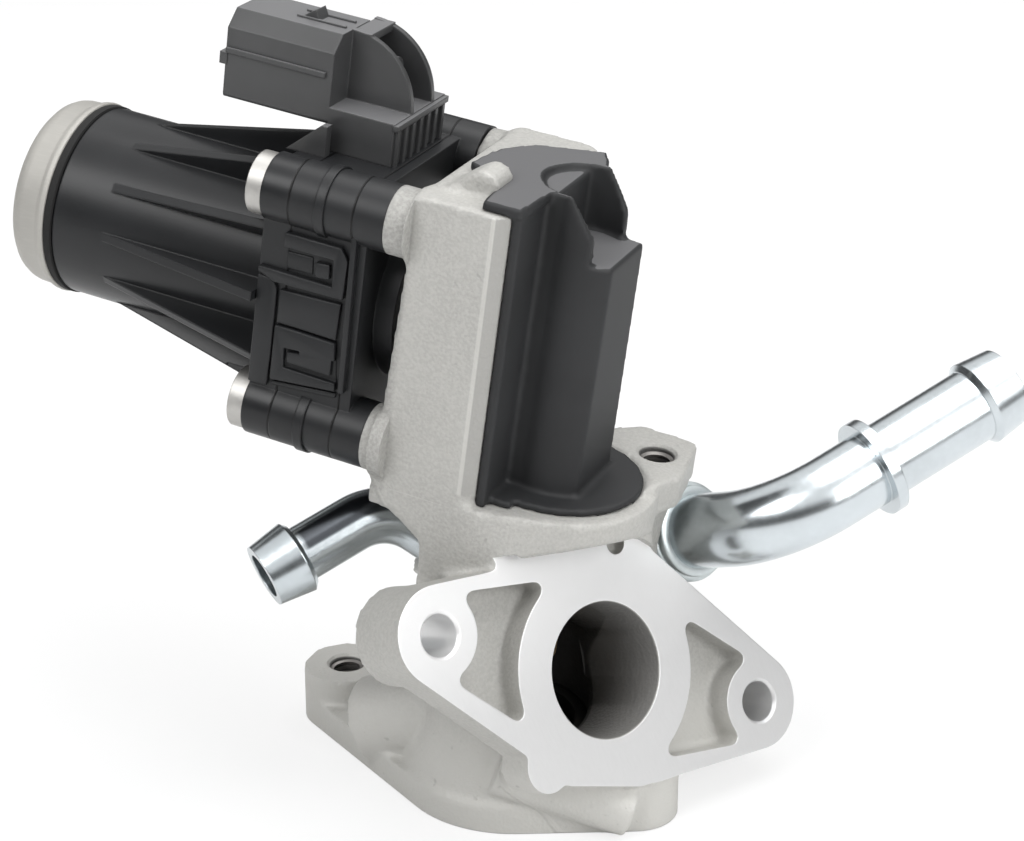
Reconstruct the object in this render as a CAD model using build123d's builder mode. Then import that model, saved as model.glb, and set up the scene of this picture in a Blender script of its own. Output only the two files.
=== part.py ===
from build123d import *
from math import atan, cos, degrees, pi, radians, sin, sqrt, tan
import os

# Exhaust gas recirculation valve, millimetres, +Z up.
# The origin is the centre of the gas port in the base face, where the stem axis meets it.
# The stem, the casting's column and the drive stand in a frame that leans towards +X.
# In that frame u runs along the motor, v runs to the back and w runs up the stem.

# Frames
STEM_LEAN = 7.6
MOTOR_HEIGHT = 101.4
FLANGE_BEARING = -26.4
FLANGE_RISE = 22.3
FLANGE_ROLL = -27.0
FLANGE_CENTRE = (24.5, -10.2, 34.9)

# Clearances
RUNNING_FIT = 0.05
SLOT_GAP = 0.15
BODY_GAP = 0.4

# Base
BASE_THICKNESS = 6
BASE_RADIUS = 24
BASE_BOSS_RADIUS = 9.2
BASE_BOSS_HEIGHT = 12
BASE_HOLES = [(-44.0, 10.5), (28.0, -3.0), (8.0, 33.0)]
M8_TAP_RADIUS = 3.4
PORT_RECESS_RADIUS = 15.3
PORT_RECESS_DEPTH = 4
BULGE_START = (-31.0, -4.0, 8.0)
BULGE_END = (-6.0, -4.0, 18.0)
BULGE_RADIUS = 9.5

# Gas chamber and valve
CHAMBER_RADIUS = 13.4
CHAMBER_OUTER_RADIUS = 20.8
CHAMBER_FLARE = 2.6
CHAMBER_SKIRT = 3.5
CHAMBER_CEILING = 33.2
CHAMBER_FLOOR = 16
CHAMBER_ROOF = 38
SEAT_OUTER_RADIUS = 14.5
SEAT_THROAT_RADIUS = 11
SEAT_HEIGHT = 5
SEAT_CHAMFER = 1.2
STEM_RADIUS = 3
POPPET_RADIUS = 12.6
POPPET_BOTTOM = 9
SEATING_GAP = 0.14
VALVE_LIFT = 6
GUIDE_RADIUS = 5
GUIDE_BOTTOM = 31
GUIDE_TOP = 58
SHOULDER_RADIUS = 20.5
SHOULDER_TOP = 71
SHOULDER_BLOCK_BOTTOM = 56
SPRING_CHAMBER_RADIUS = 8
SPRING_SEAT = 61
SPRING_RADIUS = 4.8
SPRING_WIRE_RADIUS = 0.7
SPRING_TURNS = 6
RETAINER_HEIGHT = MOTOR_HEIGHT - 17.4
RETAINER_RADIUS = 5.8
RETAINER_THICKNESS = 1.6

# Gas flange
FLANGE_BORE_RADIUS = 13.5
FLANGE_REACH = 24
FLANGE_THICKNESS = 9
FLANGE_BOLT_SPACING = 82.2
FLANGE_EAR_RADIUS = 9.8
FLANGE_EAR_DEPTH = 15
FLANGE_BOLT_HOLE_RADIUS = 4.5
FLANGE_MIDDLE = [(4.4, 26.2), (12.0, -20.6), (-5.5, -22.9), (-14.0, -17.0)]
FLANGE_TAB = (-11.3, -21.0)
FLANGE_TAB_RADIUS = 5.2
FLANGE_BACK_RADIUS = 20
FLANGE_BACK_END = (-31, -1)
FLANGE_BACK_END_RADIUS = 6
FLANGE_NOTCH = (-1.7, 25.4)
FLANGE_NOTCH_RADIUS = 2.4
FLANGE_NOTCH_DEPTH = 3
FLANGE_BORE_DEPTH = 9
GAS_WAY_RADIUS = 12.9
FLANGE_RING_WALL = 8.5
FLANGE_POCKET_DEPTH = 6
FLANGE_POCKET_CORNER = 1.6
FLANGE_POCKET_EAR = 8.8
FLANGE_POCKETS = [
    [(10, 16.4), (41.1, 7.3), (41.1, -8.2), (10, -17.5)],
    [(-10, 17.2), (-41.1, 8.0), (-41.1, -6.6), (-10, -16.9)],
]
FLANGE_NECK_RADIUS = 18.5
FLANGE_CLEARANCE = 1.5

# Column
COLUMN_LEFT = -27
COLUMN_RIGHT = -8.5
COLUMN_HALF_WIDTH = 24.5
COLUMN_BOTTOM = MOTOR_HEIGHT - 35.4
COLUMN_TOP = MOTOR_HEIGHT + 30.1
COLUMN_BEVEL = 2.4
COLUMN_CORNER = 1.5
COLUMN_WALL = 4
COLUMN_BACK_WALL = 7
CAM_CHAMBER_FLOOR = -16.4
CAM_CHAMBER_HALF_HEIGHT = 24
BEARING_BOSS_RADIUS = 12
BUSH_RADIUS = 7

# Lug and coolant bosses
ARM_END = (10.0, 29.0)
ARM_RADIUS = 9
LUG_TOP = 72.4
LUG_THICKNESS = 7
LUG_CORNERS = [(8.0, 27.0), (17.0, 26.5), (19.0, 13.0)]
LUG_CORNER_RADIUS = 3
LUG_HOLE = (14.0, 19.5)
OUTLET_BOSS_RADIUS = 10
OUTLET_BOSS_LENGTH = 16
PIPE_BOSS_WALL = 2.6
INLET_BOSS_LENGTH = 8
PIPE_SEAT = 5
JACKET_BOTTOM = 48
JACKET_HEIGHT = 7
JACKET_RADIUS = 10.5
JACKET_WALL = 3
WATERWAY_RADIUS = 3.2

# Drive housings
GEARBOX_FACE = -57.4
GEARBOX_SPLIT = -51.4
GEARBOX_END_SPLIT = -38
GEARBOX_END = -31.5
GEARBOX_HALF_WIDTH = 24.5
GEARBOX_HALF_HEIGHT = 27.5
GEARBOX_WALL = 2.6
END_PLATE = 2.4
END_DRUM_RADIUS = 17.5
SCREW_OFFSET_V = 20.5
SCREW_OFFSET_W = 22.8
SCREW_BOSS_RADIUS = 6.7
SLEEVE_RADIUS = 3.9
SLEEVE_BORE_RADIUS = 2.8
SCREW_RADIUS = 2.5
SCREW_REACH = 9
SCREW_HEAD_RADIUS = 6.2
SCREW_HEAD_HEIGHT = 3.4
SCREW_SOCKET_RADIUS = 2.6

# Motor
MOTOR_OUTER_RADIUS = 19.4
MOTOR_BORE_RADIUS = 17.5
MOTOR_END = -108.5
MOTOR_WALL_INNER = -62
CAP_RADIUS = 20
CAP_LENGTH = 9
CAP_SHEET = 1.2
CAP_LIP = 1.6
CAP_SEAT_LENGTH = 3
RIB_COUNT = 12
RIB_FIRST_ANGLE = -4
RIB_THICKNESS = 1.8
RIB_START = -100
RIB_HEIGHT = 8
CAN_INNER_RADIUS = 16.2
MAGNET_INNER_RADIUS = 12
MAGNET_LENGTH = 30
MAGNET_ARC = 130
ARMATURE_RADIUS = 11.4
ARMATURE_LENGTH = 26
ARMATURE_SLOTS = 7
WINDING_RADIUS = 9.5
COMMUTATOR_RADIUS = 5
COMMUTATOR_LENGTH = 8
MOTOR_SHAFT_RADIUS = 1.6
BEARING_RADIUS = 5
BEARING_LENGTH = 4

# Gear train: motor pinion, idler wheel and pinion, output gear on the motor's own line
GEAR_MODULE = 0.55
PINION_TEETH = 12
WHEEL_TEETH = 36
PRESSURE_ANGLE = 25
ADDENDUM = 0.8
DEDENDUM = 1.05
TOOTH_BACKLASH = 0.12
FLANK_STEPS = 4
FIRST_GEARS = -50.8
SECOND_GEARS = -46
GEAR_WIDTH = 4
IDLER_PIN_RADIUS = 1.5
OUTPUT_SHAFT_RADIUS = 4

# Cam and follower
CAM_TURN = 90
CAM_START_RADIUS = 6
CAM_RADIUS = 16
CAM_THICKNESS = 4
CAM_FACE = -11.5
CAM_SLOT_OVERRUN = 3
CAM_SLOT_STEP = 6
ROLLER_RADIUS = 2.4
ROLLER_PIN_RADIUS = 1.2
FOLLOWER_HALF_WIDTH = 4

# Stem cover
COVER_BOTTOM = 71
COVER_TOP = MOTOR_HEIGHT + 32.1
COVER_PLATE = 2
COVER_PLATE_HALF_WIDTH = 22
COVER_RADIUS_TOP = 10.4
COVER_RADIUS_BOTTOM = 11.8
COVER_FLAT = 7.6
COVER_BACK = 9.5
COVER_WALL = 1.4
COVER_SKIN = 0.7
COVER_DISC_RADIUS = 17.3
COVER_DISC_THICKNESS = 1.5
COVER_FOOT_RIGHT = -2
COVER_FOOT_HALF_WIDTH = 19.5
COVER_NOTCH_RADIUS = 9.2
COVER_NOTCH_MIDDLE = -1.6
COVER_NOTCH_WALL = -5.1
COVER_LEDGE = MOTOR_HEIGHT + 19
COVER_SLOPE_START = -2
COVER_SLOPE_END = (3.6, MOTOR_HEIGHT + 24.2)
COVER_CEILING = MOTOR_HEIGHT + 12.1
COVER_TOP_OUTLINE = [
    (-14.2, -23.0),
    (-6.4, -22.8),
    (-5.4, -9.6),
    (-2.0, 9.8),
    (-3.4, 14.0),
    (-5.4, 17.4),
    (-18.2, 11.7),
    (-22.8, 4.9),
    (-24.2, -5.9),
    (-15.2, -12.5),
]

# Connector
CONNECTOR_LEFT = -76.5
CONNECTOR_RIGHT = -53.5
CONNECTOR_FRONT = -8.5
CONNECTOR_BACK = 9.5
CONNECTOR_BOTTOM = MOTOR_HEIGHT + 32.6
CONNECTOR_TOP = MOTOR_HEIGHT + 50.1
CONNECTOR_CHAMFER = 3.2
CONNECTOR_WALL = 1.8
CONNECTOR_DEPTH = 18
CONNECTOR_BASE_RIGHT = -39.5
CONNECTOR_BASE_BACK = 14.5
CONNECTOR_BASE_TOP = MOTOR_HEIGHT + 36.2
SHROUD_FRONT = -1.2
SHROUD_SHEET = 1.3
TONGUE_RADIUS = 3
LATCH_WIDTH = 4
TERMINAL_COLUMNS = 3
TERMINAL_PITCH = 3.6
TERMINAL_SIZE = 0.8

# Coolant pipes
INLET_PIPE_RADIUS = 5.7
OUTLET_PIPE_RADIUS = 7.8
PIPE_WALL = 1
INLET_MOUTH = (-46.1, -33.3, 48.1)
INLET_CORNER = (-30.5, -12.9, 60.3)
INLET_END = (-14.0, -6.5, 50.5)
INLET_BEND = 13
INLET_BEAD_RADIUS = 7.6
INLET_MOUTH_RADIUS = 6.5
OUTLET_ROOT = (20.0, 29.7, 51.4)
OUTLET_CORNER = (41.6, 18.2, 65.0)
OUTLET_MOUTH = (73.5, 59.5, 90.0)
OUTLET_BEND = 20
OUTLET_BEAD_RADIUS = 9.1
OUTLET_MOUTH_RADIUS = 8.3
STOP_BEAD_RADIUS = 10.3
STOP_BEAD_DISTANCE = 35
STOP_BEAD_WIDTH = 2.4
BARB_LENGTH = 7.5
COLLAR_LENGTH = 3.5
COLLAR_RADIUS = 10.5

stem_frame = Plane(
    origin=(0, 0, 0),
    x_dir=(cos(radians(STEM_LEAN)), 0, -sin(radians(STEM_LEAN))),
    z_dir=(sin(radians(STEM_LEAN)), 0, cos(radians(STEM_LEAN))),
)
flange_normal = Vector(
    cos(radians(FLANGE_RISE)) * cos(radians(FLANGE_BEARING)),
    cos(radians(FLANGE_RISE)) * sin(radians(FLANGE_BEARING)),
    sin(radians(FLANGE_RISE)),
)

def at(u, v, w):
    """Point given in the stem frame, as a point of the part."""
    return stem_frame.from_local_coords(Vector(u, v, w))


def level(height):
    """Plane square to the stem."""
    return stem_frame.offset(height)


def drive(u):
    """Plane square to the motor axis: local x runs to the back, local y runs up the column."""
    return Plane(origin=at(u, 0, MOTOR_HEIGHT), x_dir=(0, 1, 0), z_dir=stem_frame.x_dir)


def front(v):
    """Plane facing the front: local x runs along the motor, local y runs up the column."""
    return Plane(origin=at(0, v, 0), x_dir=stem_frame.x_dir, z_dir=(0, -1, 0))


def flange_plane(depth=0):
    """Plane of the gas flange's face, moved in by a depth."""
    level_way = Vector(0, 0, 1).cross(flange_normal)
    bolt_line = level_way.rotate(Axis((0, 0, 0), flange_normal), FLANGE_ROLL)
    plane = Plane(origin=FLANGE_CENTRE, x_dir=bolt_line, z_dir=flange_normal)
    return plane.offset(-depth)


def towards(start, end, distance):
    """Point on the line from start to end."""
    return start + (end - start).normalized() * distance


def rod(start, end, radius, mode=Mode.ADD):
    """Round bar or bore between two points."""
    with BuildSketch(Plane(origin=start, z_dir=end - start)) as section:
        Circle(radius)
    extrude(section.sketch, amount=(end - start).length, mode=mode)


def disc(plane, radius, length, hole=0):
    """Round plate or ring standing on a plane."""
    with BuildSketch(plane) as section:
        Circle(radius)
        if hole:
            Circle(hole, mode=Mode.SUBTRACT)
    extrude(section.sketch, amount=length)


def involute_point(base_radius, radius, turn):
    """Point of an involute flank at a radius, turned about the gear's centre."""
    roll = sqrt((radius / base_radius) ** 2 - 1)
    angle = roll - atan(roll) + turn
    return (radius * cos(angle), radius * sin(angle))


def tooth_face(teeth):
    """One tooth of an involute gear, pointing along local x."""
    pitch_radius = GEAR_MODULE * teeth / 2
    base_radius = pitch_radius * cos(radians(PRESSURE_ANGLE))
    tip_radius = pitch_radius + ADDENDUM * GEAR_MODULE
    root_radius = pitch_radius - DEDENDUM * GEAR_MODULE
    start_radius = max(base_radius, root_radius)
    involute = tan(radians(PRESSURE_ANGLE)) - radians(PRESSURE_ANGLE)
    half_tooth = pi / (2 * teeth) - TOOTH_BACKLASH / (2 * pitch_radius)
    step = (tip_radius - start_radius) / FLANK_STEPS
    radii = [start_radius + step * i for i in range(FLANK_STEPS + 1)]
    lower = [involute_point(base_radius, r, -involute - half_tooth) for r in radii]
    upper = [(x, -y) for x, y in reversed(lower)]
    foot = root_radius * 0.95
    with BuildSketch(mode=Mode.PRIVATE) as tooth:
        with BuildLine():
            Polyline((foot, lower[0][1]), *lower, *upper, (foot, upper[-1][1]), close=True)
        make_face()
    return tooth.sketch


def gear(plane, teeth, first_tooth, bore, width=GEAR_WIDTH):
    """Toothed disc on a plane, with its first tooth at an angle."""
    tooth = tooth_face(teeth)
    with BuildSketch(plane) as section:
        Circle(GEAR_MODULE * (teeth / 2 - DEDENDUM))
        with PolarLocations(0, teeth, start_angle=first_tooth):
            add(tooth)
        Circle(bore, mode=Mode.SUBTRACT)
    extrude(section.sketch, amount=width)


def screw_places():
    """The four screws that hold the drive to the casting."""
    return GridLocations(2 * SCREW_OFFSET_V, 2 * SCREW_OFFSET_W, 2, 2)


def housing_outline():
    """Outline shared by the stacked drive housings, with its four screw bosses."""
    Rectangle(2 * GEARBOX_HALF_WIDTH, 2 * GEARBOX_HALF_HEIGHT)
    with screw_places():
        Circle(SCREW_BOSS_RADIUS)


def gear_space():
    """Inside of the drive housings, round the screw bosses."""
    Rectangle(2 * (GEARBOX_HALF_WIDTH - GEARBOX_WALL), 2 * (GEARBOX_HALF_HEIGHT - GEARBOX_WALL))
    with screw_places():
        Circle(SCREW_BOSS_RADIUS + 0.5, mode=Mode.SUBTRACT)


def sleeve_holes(plane, length):
    """Holes for the screw sleeves through one housing."""
    with BuildSketch(plane) as section:
        with screw_places():
            Circle(SLEEVE_RADIUS)
    extrude(section.sketch, amount=length, mode=Mode.SUBTRACT)


def flange_holes():
    """The two bolt holes of the gas flange."""
    return GridLocations(FLANGE_BOLT_SPACING, 1, 2, 1)


def flange_outline(outset=0):
    """Gas flange: two ears joined to the round middle by straight sides."""
    with flange_holes():
        Circle(FLANGE_EAR_RADIUS)
    with Locations(*FLANGE_MIDDLE):
        Circle(1)
    make_hull()
    if outset:
        offset(amount=outset)


def cover_foot():
    """Foot of the stem cover: a disc round the stem and a straight part along the column."""
    Circle(COVER_DISC_RADIUS)
    with Locations(((COLUMN_RIGHT + COVER_FOOT_RIGHT) / 2, 0)):
        Rectangle(COVER_FOOT_RIGHT - COLUMN_RIGHT, 2 * COVER_FOOT_HALF_WIDTH)
    with Locations((COLUMN_RIGHT - 10, 0)):
        Rectangle(20, 3 * COVER_DISC_RADIUS, mode=Mode.SUBTRACT)


def pipe(start, corner, mouth, bend, radius, mode=Mode.ADD):
    """Bent round bar or bore from a seat through a corner to a mouth."""
    with BuildLine() as route:
        FilletPolyline(start, corner, mouth, radius=bend)
    with BuildSketch(Plane(origin=start, z_dir=corner - start)) as section:
        Circle(radius)
    sweep(section.sketch, path=route.line, mode=mode)


def barb(corner, mouth, bead_radius, mouth_radius):
    """Hose barb: a cone that opens from the mouth to a bead."""
    foot = mouth - (mouth - corner).normalized() * BARB_LENGTH
    half_angle = degrees(atan((bead_radius - mouth_radius) / BARB_LENGTH))
    with BuildSketch(Plane(origin=foot, z_dir=mouth - corner)) as bead:
        Circle(bead_radius)
    extrude(bead.sketch, amount=BARB_LENGTH, taper=half_angle)
    with BuildSketch(Plane(origin=foot, z_dir=corner - mouth)) as back:
        Circle(bead_radius)
    extrude(back.sketch, amount=bead_radius / 8, taper=45)


# Valve body: base plate, gas chamber, flange, shoulder and column in one casting
outlet_root = at(*OUTLET_ROOT)
outlet_corner = at(*OUTLET_CORNER)
outlet_mouth = at(*OUTLET_MOUTH)
outlet_start = towards(outlet_root, outlet_corner, -PIPE_SEAT)
inlet_corner = at(*INLET_CORNER)
inlet_mouth = at(*INLET_MOUTH)
inlet_end = at(*INLET_END)
inlet_face = towards(inlet_end, inlet_corner, INLET_BOSS_LENGTH)
inlet_start = towards(inlet_face, inlet_end, PIPE_SEAT)
with BuildPart() as valve_body:
    with BuildSketch():
        Circle(BASE_RADIUS)
        with Locations(*BASE_HOLES):
            Circle(BASE_BOSS_RADIUS)
        make_hull()
    extrude(amount=BASE_THICKNESS)
    with BuildSketch():
        with Locations(*BASE_HOLES):
            Circle(BASE_BOSS_RADIUS)
    extrude(amount=BASE_BOSS_HEIGHT)
    # Chamber and shoulder, turned about the stem
    with BuildSketch(front(0)):
        with BuildLine():
            Polyline(
                (0, CHAMBER_SKIRT),
                (CHAMBER_OUTER_RADIUS + CHAMBER_FLARE, CHAMBER_SKIRT),
                (CHAMBER_OUTER_RADIUS, CHAMBER_FLOOR),
                (CHAMBER_OUTER_RADIUS, CHAMBER_ROOF - 6),
                (SHOULDER_RADIUS - 3, CHAMBER_ROOF + 8),
                (SHOULDER_RADIUS, CHAMBER_ROOF + 18),
                (SHOULDER_RADIUS, SHOULDER_TOP),
                (0, SHOULDER_TOP),
                close=True,
            )
        make_face()
    revolve(axis=Axis((0, 0, 0), stem_frame.z_dir))
    # Column
    with BuildSketch(level(COLUMN_BOTTOM)):
        with Locations(((COLUMN_LEFT + COLUMN_RIGHT) / 2, 0)):
            Rectangle(COLUMN_RIGHT - COLUMN_LEFT, 2 * COLUMN_HALF_WIDTH)
        chamfer(vertices().group_by(Axis.X)[-1], length=COLUMN_BEVEL)
        fillet(vertices().group_by(Axis.X)[0], radius=COLUMN_CORNER)
    extrude(amount=COLUMN_TOP - COLUMN_BOTTOM)
    # Neck under the column
    with BuildSketch(front(0)):
        with BuildLine():
            Polyline(
                (COLUMN_LEFT, COLUMN_BOTTOM + 1),
                (COLUMN_RIGHT, COLUMN_BOTTOM + 1),
                (-6, CHAMBER_ROOF - 6),
                (-17, CHAMBER_ROOF - 4),
                (-18, COLUMN_BOTTOM - 5),
                close=True,
            )
        make_face()
    extrude(amount=COLUMN_HALF_WIDTH, both=True)
    with BuildSketch(level(SHOULDER_BLOCK_BOTTOM)):
        Circle(SHOULDER_RADIUS)
        with Locations((COLUMN_RIGHT - COLUMN_WALL, 0)):
            Rectangle(2 * COLUMN_WALL, 2 * COLUMN_HALF_WIDTH)
        make_hull()
    extrude(amount=SHOULDER_TOP - SHOULDER_BLOCK_BOTTOM)
    # Screw bosses and bearing boss towards the drive
    with BuildSketch(drive(GEARBOX_END)):
        with screw_places():
            Circle(SCREW_BOSS_RADIUS - 0.2)
        Circle(BEARING_BOSS_RADIUS)
    extrude(amount=COLUMN_LEFT - GEARBOX_END + 3)
    # Gas flange and its neck
    with BuildSketch(flange_plane(FLANGE_THICKNESS)):
        flange_outline()
        with Locations(FLANGE_TAB):
            Circle(FLANGE_TAB_RADIUS)
    extrude(amount=FLANGE_THICKNESS)
    with BuildSketch(flange_plane(FLANGE_EAR_DEPTH)):
        with flange_holes():
            Circle(FLANGE_EAR_RADIUS)
    extrude(amount=FLANGE_EAR_DEPTH)
    with BuildSketch(flange_plane(FLANGE_EAR_DEPTH)):
        with Locations((-FLANGE_BOLT_SPACING / 2, 0)):
            Circle(FLANGE_EAR_RADIUS - FLANGE_CLEARANCE)
        Circle(FLANGE_BACK_RADIUS)
        make_hull()
    extrude(amount=FLANGE_EAR_DEPTH - FLANGE_THICKNESS)
    with BuildSketch(flange_plane(FLANGE_REACH)):
        with Locations(FLANGE_BACK_END):
            Circle(FLANGE_BACK_END_RADIUS)
        Circle(FLANGE_BACK_RADIUS)
        make_hull()
    extrude(amount=FLANGE_REACH - FLANGE_EAR_DEPTH)
    disc(flange_plane(FLANGE_REACH), FLANGE_NECK_RADIUS, FLANGE_REACH)
    # Bulge from the left mounting boss into the chamber
    rod(Vector(*BULGE_START), Vector(*BULGE_END), BULGE_RADIUS)
    # Flat underside
    with BuildSketch():
        Circle(3 * BASE_RADIUS)
    extrude(amount=-BULGE_RADIUS, mode=Mode.SUBTRACT)
    # Arm, lug and pipe bosses at the back
    with BuildSketch(level(CHAMBER_ROOF)):
        Circle(SHOULDER_RADIUS - 5)
        with Locations(ARM_END):
            Circle(ARM_RADIUS)
        make_hull()
    extrude(amount=LUG_TOP - LUG_THICKNESS - CHAMBER_ROOF)
    with BuildSketch(level(LUG_TOP - LUG_THICKNESS)):
        Circle(SHOULDER_RADIUS - 5)
        with Locations(*LUG_CORNERS):
            Circle(LUG_CORNER_RADIUS)
        make_hull()
    extrude(amount=LUG_THICKNESS)
    rod(towards(outlet_root, outlet_corner, -OUTLET_BOSS_LENGTH), outlet_root, OUTLET_BOSS_RADIUS)
    rod(inlet_end, inlet_face, INLET_PIPE_RADIUS + PIPE_BOSS_WALL)
    # Machined clearance: in front of the flange, over the outlet boss and under the cover's foot
    with BuildSketch(flange_plane()):
        flange_outline(outset=FLANGE_CLEARANCE)
    extrude(amount=FLANGE_REACH, mode=Mode.SUBTRACT)
    outlet_clearance = towards(outlet_root, outlet_corner, FLANGE_REACH)
    rod(outlet_root, outlet_clearance, COLLAR_RADIUS + BODY_GAP, Mode.SUBTRACT)
    rod(inlet_face, inlet_corner, INLET_PIPE_RADIUS + BODY_GAP, Mode.SUBTRACT)
    with BuildSketch(level(SHOULDER_TOP)):
        cover_foot()
        offset(amount=BODY_GAP)
        with Locations((COLUMN_RIGHT - 10, 0)):
            Rectangle(20, 3 * COVER_DISC_RADIUS, mode=Mode.SUBTRACT)
    extrude(amount=LUG_TOP - SHOULDER_TOP, mode=Mode.SUBTRACT)
    # Gas way: port, chamber and flange bore
    with BuildSketch(level(-CHAMBER_FLOOR)):
        Circle(SEAT_OUTER_RADIUS)
    extrude(amount=2 * CHAMBER_FLOOR, mode=Mode.SUBTRACT)
    with BuildSketch():
        Circle(PORT_RECESS_RADIUS)
    extrude(amount=PORT_RECESS_DEPTH, mode=Mode.SUBTRACT)
    with BuildSketch(level(CHAMBER_FLOOR)):
        Circle(CHAMBER_RADIUS)
    extrude(amount=CHAMBER_CEILING - CHAMBER_FLOOR, mode=Mode.SUBTRACT)
    with BuildSketch(flange_plane(FLANGE_REACH)):
        Circle(GAS_WAY_RADIUS)
    extrude(amount=FLANGE_REACH, mode=Mode.SUBTRACT)
    with BuildSketch(flange_plane(FLANGE_BORE_DEPTH)):
        Circle(FLANGE_BORE_RADIUS)
    extrude(amount=FLANGE_BORE_DEPTH, mode=Mode.SUBTRACT)
    # Stem guide bore and spring chamber
    with BuildSketch(level(GUIDE_BOTTOM)):
        Circle(GUIDE_RADIUS)
    extrude(amount=SPRING_SEAT - GUIDE_BOTTOM, mode=Mode.SUBTRACT)
    with BuildSketch(level(SPRING_SEAT)):
        Circle(SPRING_CHAMBER_RADIUS)
    extrude(amount=SHOULDER_TOP + 6 - SPRING_SEAT, mode=Mode.SUBTRACT)
    # Cam chamber, open towards the stem, with the output bearing's boss left standing
    with BuildSketch(drive(CAM_CHAMBER_FLOOR)):
        Rectangle(2 * (COLUMN_HALF_WIDTH - COLUMN_WALL), 2 * CAM_CHAMBER_HALF_HEIGHT)
    extrude(amount=COLUMN_RIGHT - CAM_CHAMBER_FLOOR, mode=Mode.SUBTRACT)
    with BuildSketch(drive(COLUMN_LEFT + COLUMN_BACK_WALL)):
        Rectangle(2 * (COLUMN_HALF_WIDTH - COLUMN_WALL), 2 * CAM_CHAMBER_HALF_HEIGHT)
        Circle(BEARING_BOSS_RADIUS - 3, mode=Mode.SUBTRACT)
    extrude(amount=CAM_CHAMBER_FLOOR - COLUMN_LEFT - COLUMN_BACK_WALL, mode=Mode.SUBTRACT)
    with BuildSketch(drive(GEARBOX_END)):
        Circle(BUSH_RADIUS)
    extrude(amount=CAM_CHAMBER_FLOOR - GEARBOX_END, mode=Mode.SUBTRACT)
    with BuildSketch(drive(GEARBOX_END)):
        with screw_places():
            Circle(SCREW_RADIUS)
    extrude(amount=SCREW_REACH, mode=Mode.SUBTRACT)
    # Flange holes, locating notch and lightening pockets
    with BuildSketch(flange_plane(FLANGE_NOTCH_DEPTH)):
        with Locations(FLANGE_NOTCH):
            Circle(FLANGE_NOTCH_RADIUS)
    extrude(amount=FLANGE_NOTCH_DEPTH, mode=Mode.SUBTRACT)
    with BuildSketch(flange_plane(FLANGE_EAR_DEPTH)):
        with flange_holes():
            Circle(FLANGE_BOLT_HOLE_RADIUS)
    extrude(amount=FLANGE_EAR_DEPTH, mode=Mode.SUBTRACT)
    with BuildSketch(flange_plane(FLANGE_POCKET_DEPTH)):
        for corners in FLANGE_POCKETS:
            Polygon(*corners, align=None)
        Circle(FLANGE_BORE_RADIUS + FLANGE_RING_WALL, mode=Mode.SUBTRACT)
        with flange_holes():
            Circle(FLANGE_POCKET_EAR, mode=Mode.SUBTRACT)
        fillet(vertices(), radius=FLANGE_POCKET_CORNER)
    extrude(amount=FLANGE_POCKET_DEPTH, mode=Mode.SUBTRACT)
    # Threaded holes of the base and the lug
    with BuildSketch():
        with Locations(*BASE_HOLES):
            Circle(M8_TAP_RADIUS)
    extrude(amount=BASE_BOSS_HEIGHT, mode=Mode.SUBTRACT)
    with BuildSketch(level(LUG_TOP - LUG_THICKNESS)):
        with Locations(LUG_HOLE):
            Circle(M8_TAP_RADIUS)
    extrude(amount=LUG_THICKNESS, mode=Mode.SUBTRACT)
    # Coolant way: a jacket round the guide, with a bore to each pipe
    with BuildSketch(level(JACKET_BOTTOM)):
        Circle(JACKET_RADIUS)
        Circle(GUIDE_RADIUS + JACKET_WALL, mode=Mode.SUBTRACT)
    extrude(amount=JACKET_HEIGHT, mode=Mode.SUBTRACT)
    jacket_middle = JACKET_BOTTOM + JACKET_HEIGHT / 2
    rod(inlet_start, inlet_face, INLET_PIPE_RADIUS, Mode.SUBTRACT)
    rod(inlet_start, at(-JACKET_RADIUS + 2, 0, jacket_middle), WATERWAY_RADIUS, Mode.SUBTRACT)
    rod(outlet_start, outlet_root, OUTLET_PIPE_RADIUS, Mode.SUBTRACT)
    rod(outlet_start, at(2, JACKET_RADIUS - 2, jacket_middle), WATERWAY_RADIUS, Mode.SUBTRACT)
valve_body.part.label = "valve_body"

# Valve seat: hardened ring pressed into the port from below
with BuildPart() as valve_seat:
    with BuildSketch(front(0)):
        with BuildLine():
            Polyline(
                (SEAT_OUTER_RADIUS, CHAMBER_FLOOR - SEAT_HEIGHT),
                (SEAT_OUTER_RADIUS, CHAMBER_FLOOR),
                (SEAT_THROAT_RADIUS, CHAMBER_FLOOR),
                (SEAT_THROAT_RADIUS, CHAMBER_FLOOR - SEAT_HEIGHT + SEAT_CHAMFER),
                (SEAT_THROAT_RADIUS + SEAT_CHAMFER, CHAMBER_FLOOR - SEAT_HEIGHT),
                close=True,
            )
        make_face()
    revolve(axis=Axis((0, 0, 0), stem_frame.z_dir))
valve_seat.part.label = "valve_seat"

# Poppet valve: head, cone and stem in one piece
seat_line = SEAT_THROAT_RADIUS + SEAT_CHAMFER + CHAMBER_FLOOR - SEAT_HEIGHT - SEATING_GAP
follower_height = MOTOR_HEIGHT - CAM_START_RADIUS
stem_top = follower_height - FOLLOWER_HALF_WIDTH
with BuildPart() as poppet_valve:
    with BuildSketch(front(0)):
        with BuildLine():
            Polyline(
                (0, POPPET_BOTTOM),
                (POPPET_RADIUS, POPPET_BOTTOM),
                (POPPET_RADIUS, seat_line - POPPET_RADIUS),
                (POPPET_RADIUS - 2.4, seat_line - POPPET_RADIUS + 2.4),
                (STEM_RADIUS + 1.5, CHAMBER_FLOOR),
                (STEM_RADIUS, CHAMBER_FLOOR + 4),
                (STEM_RADIUS, stem_top),
                (0, stem_top),
                close=True,
            )
        make_face()
    revolve(axis=Axis((0, 0, 0), stem_frame.z_dir))
poppet_valve.part.label = "poppet_valve"

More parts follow.
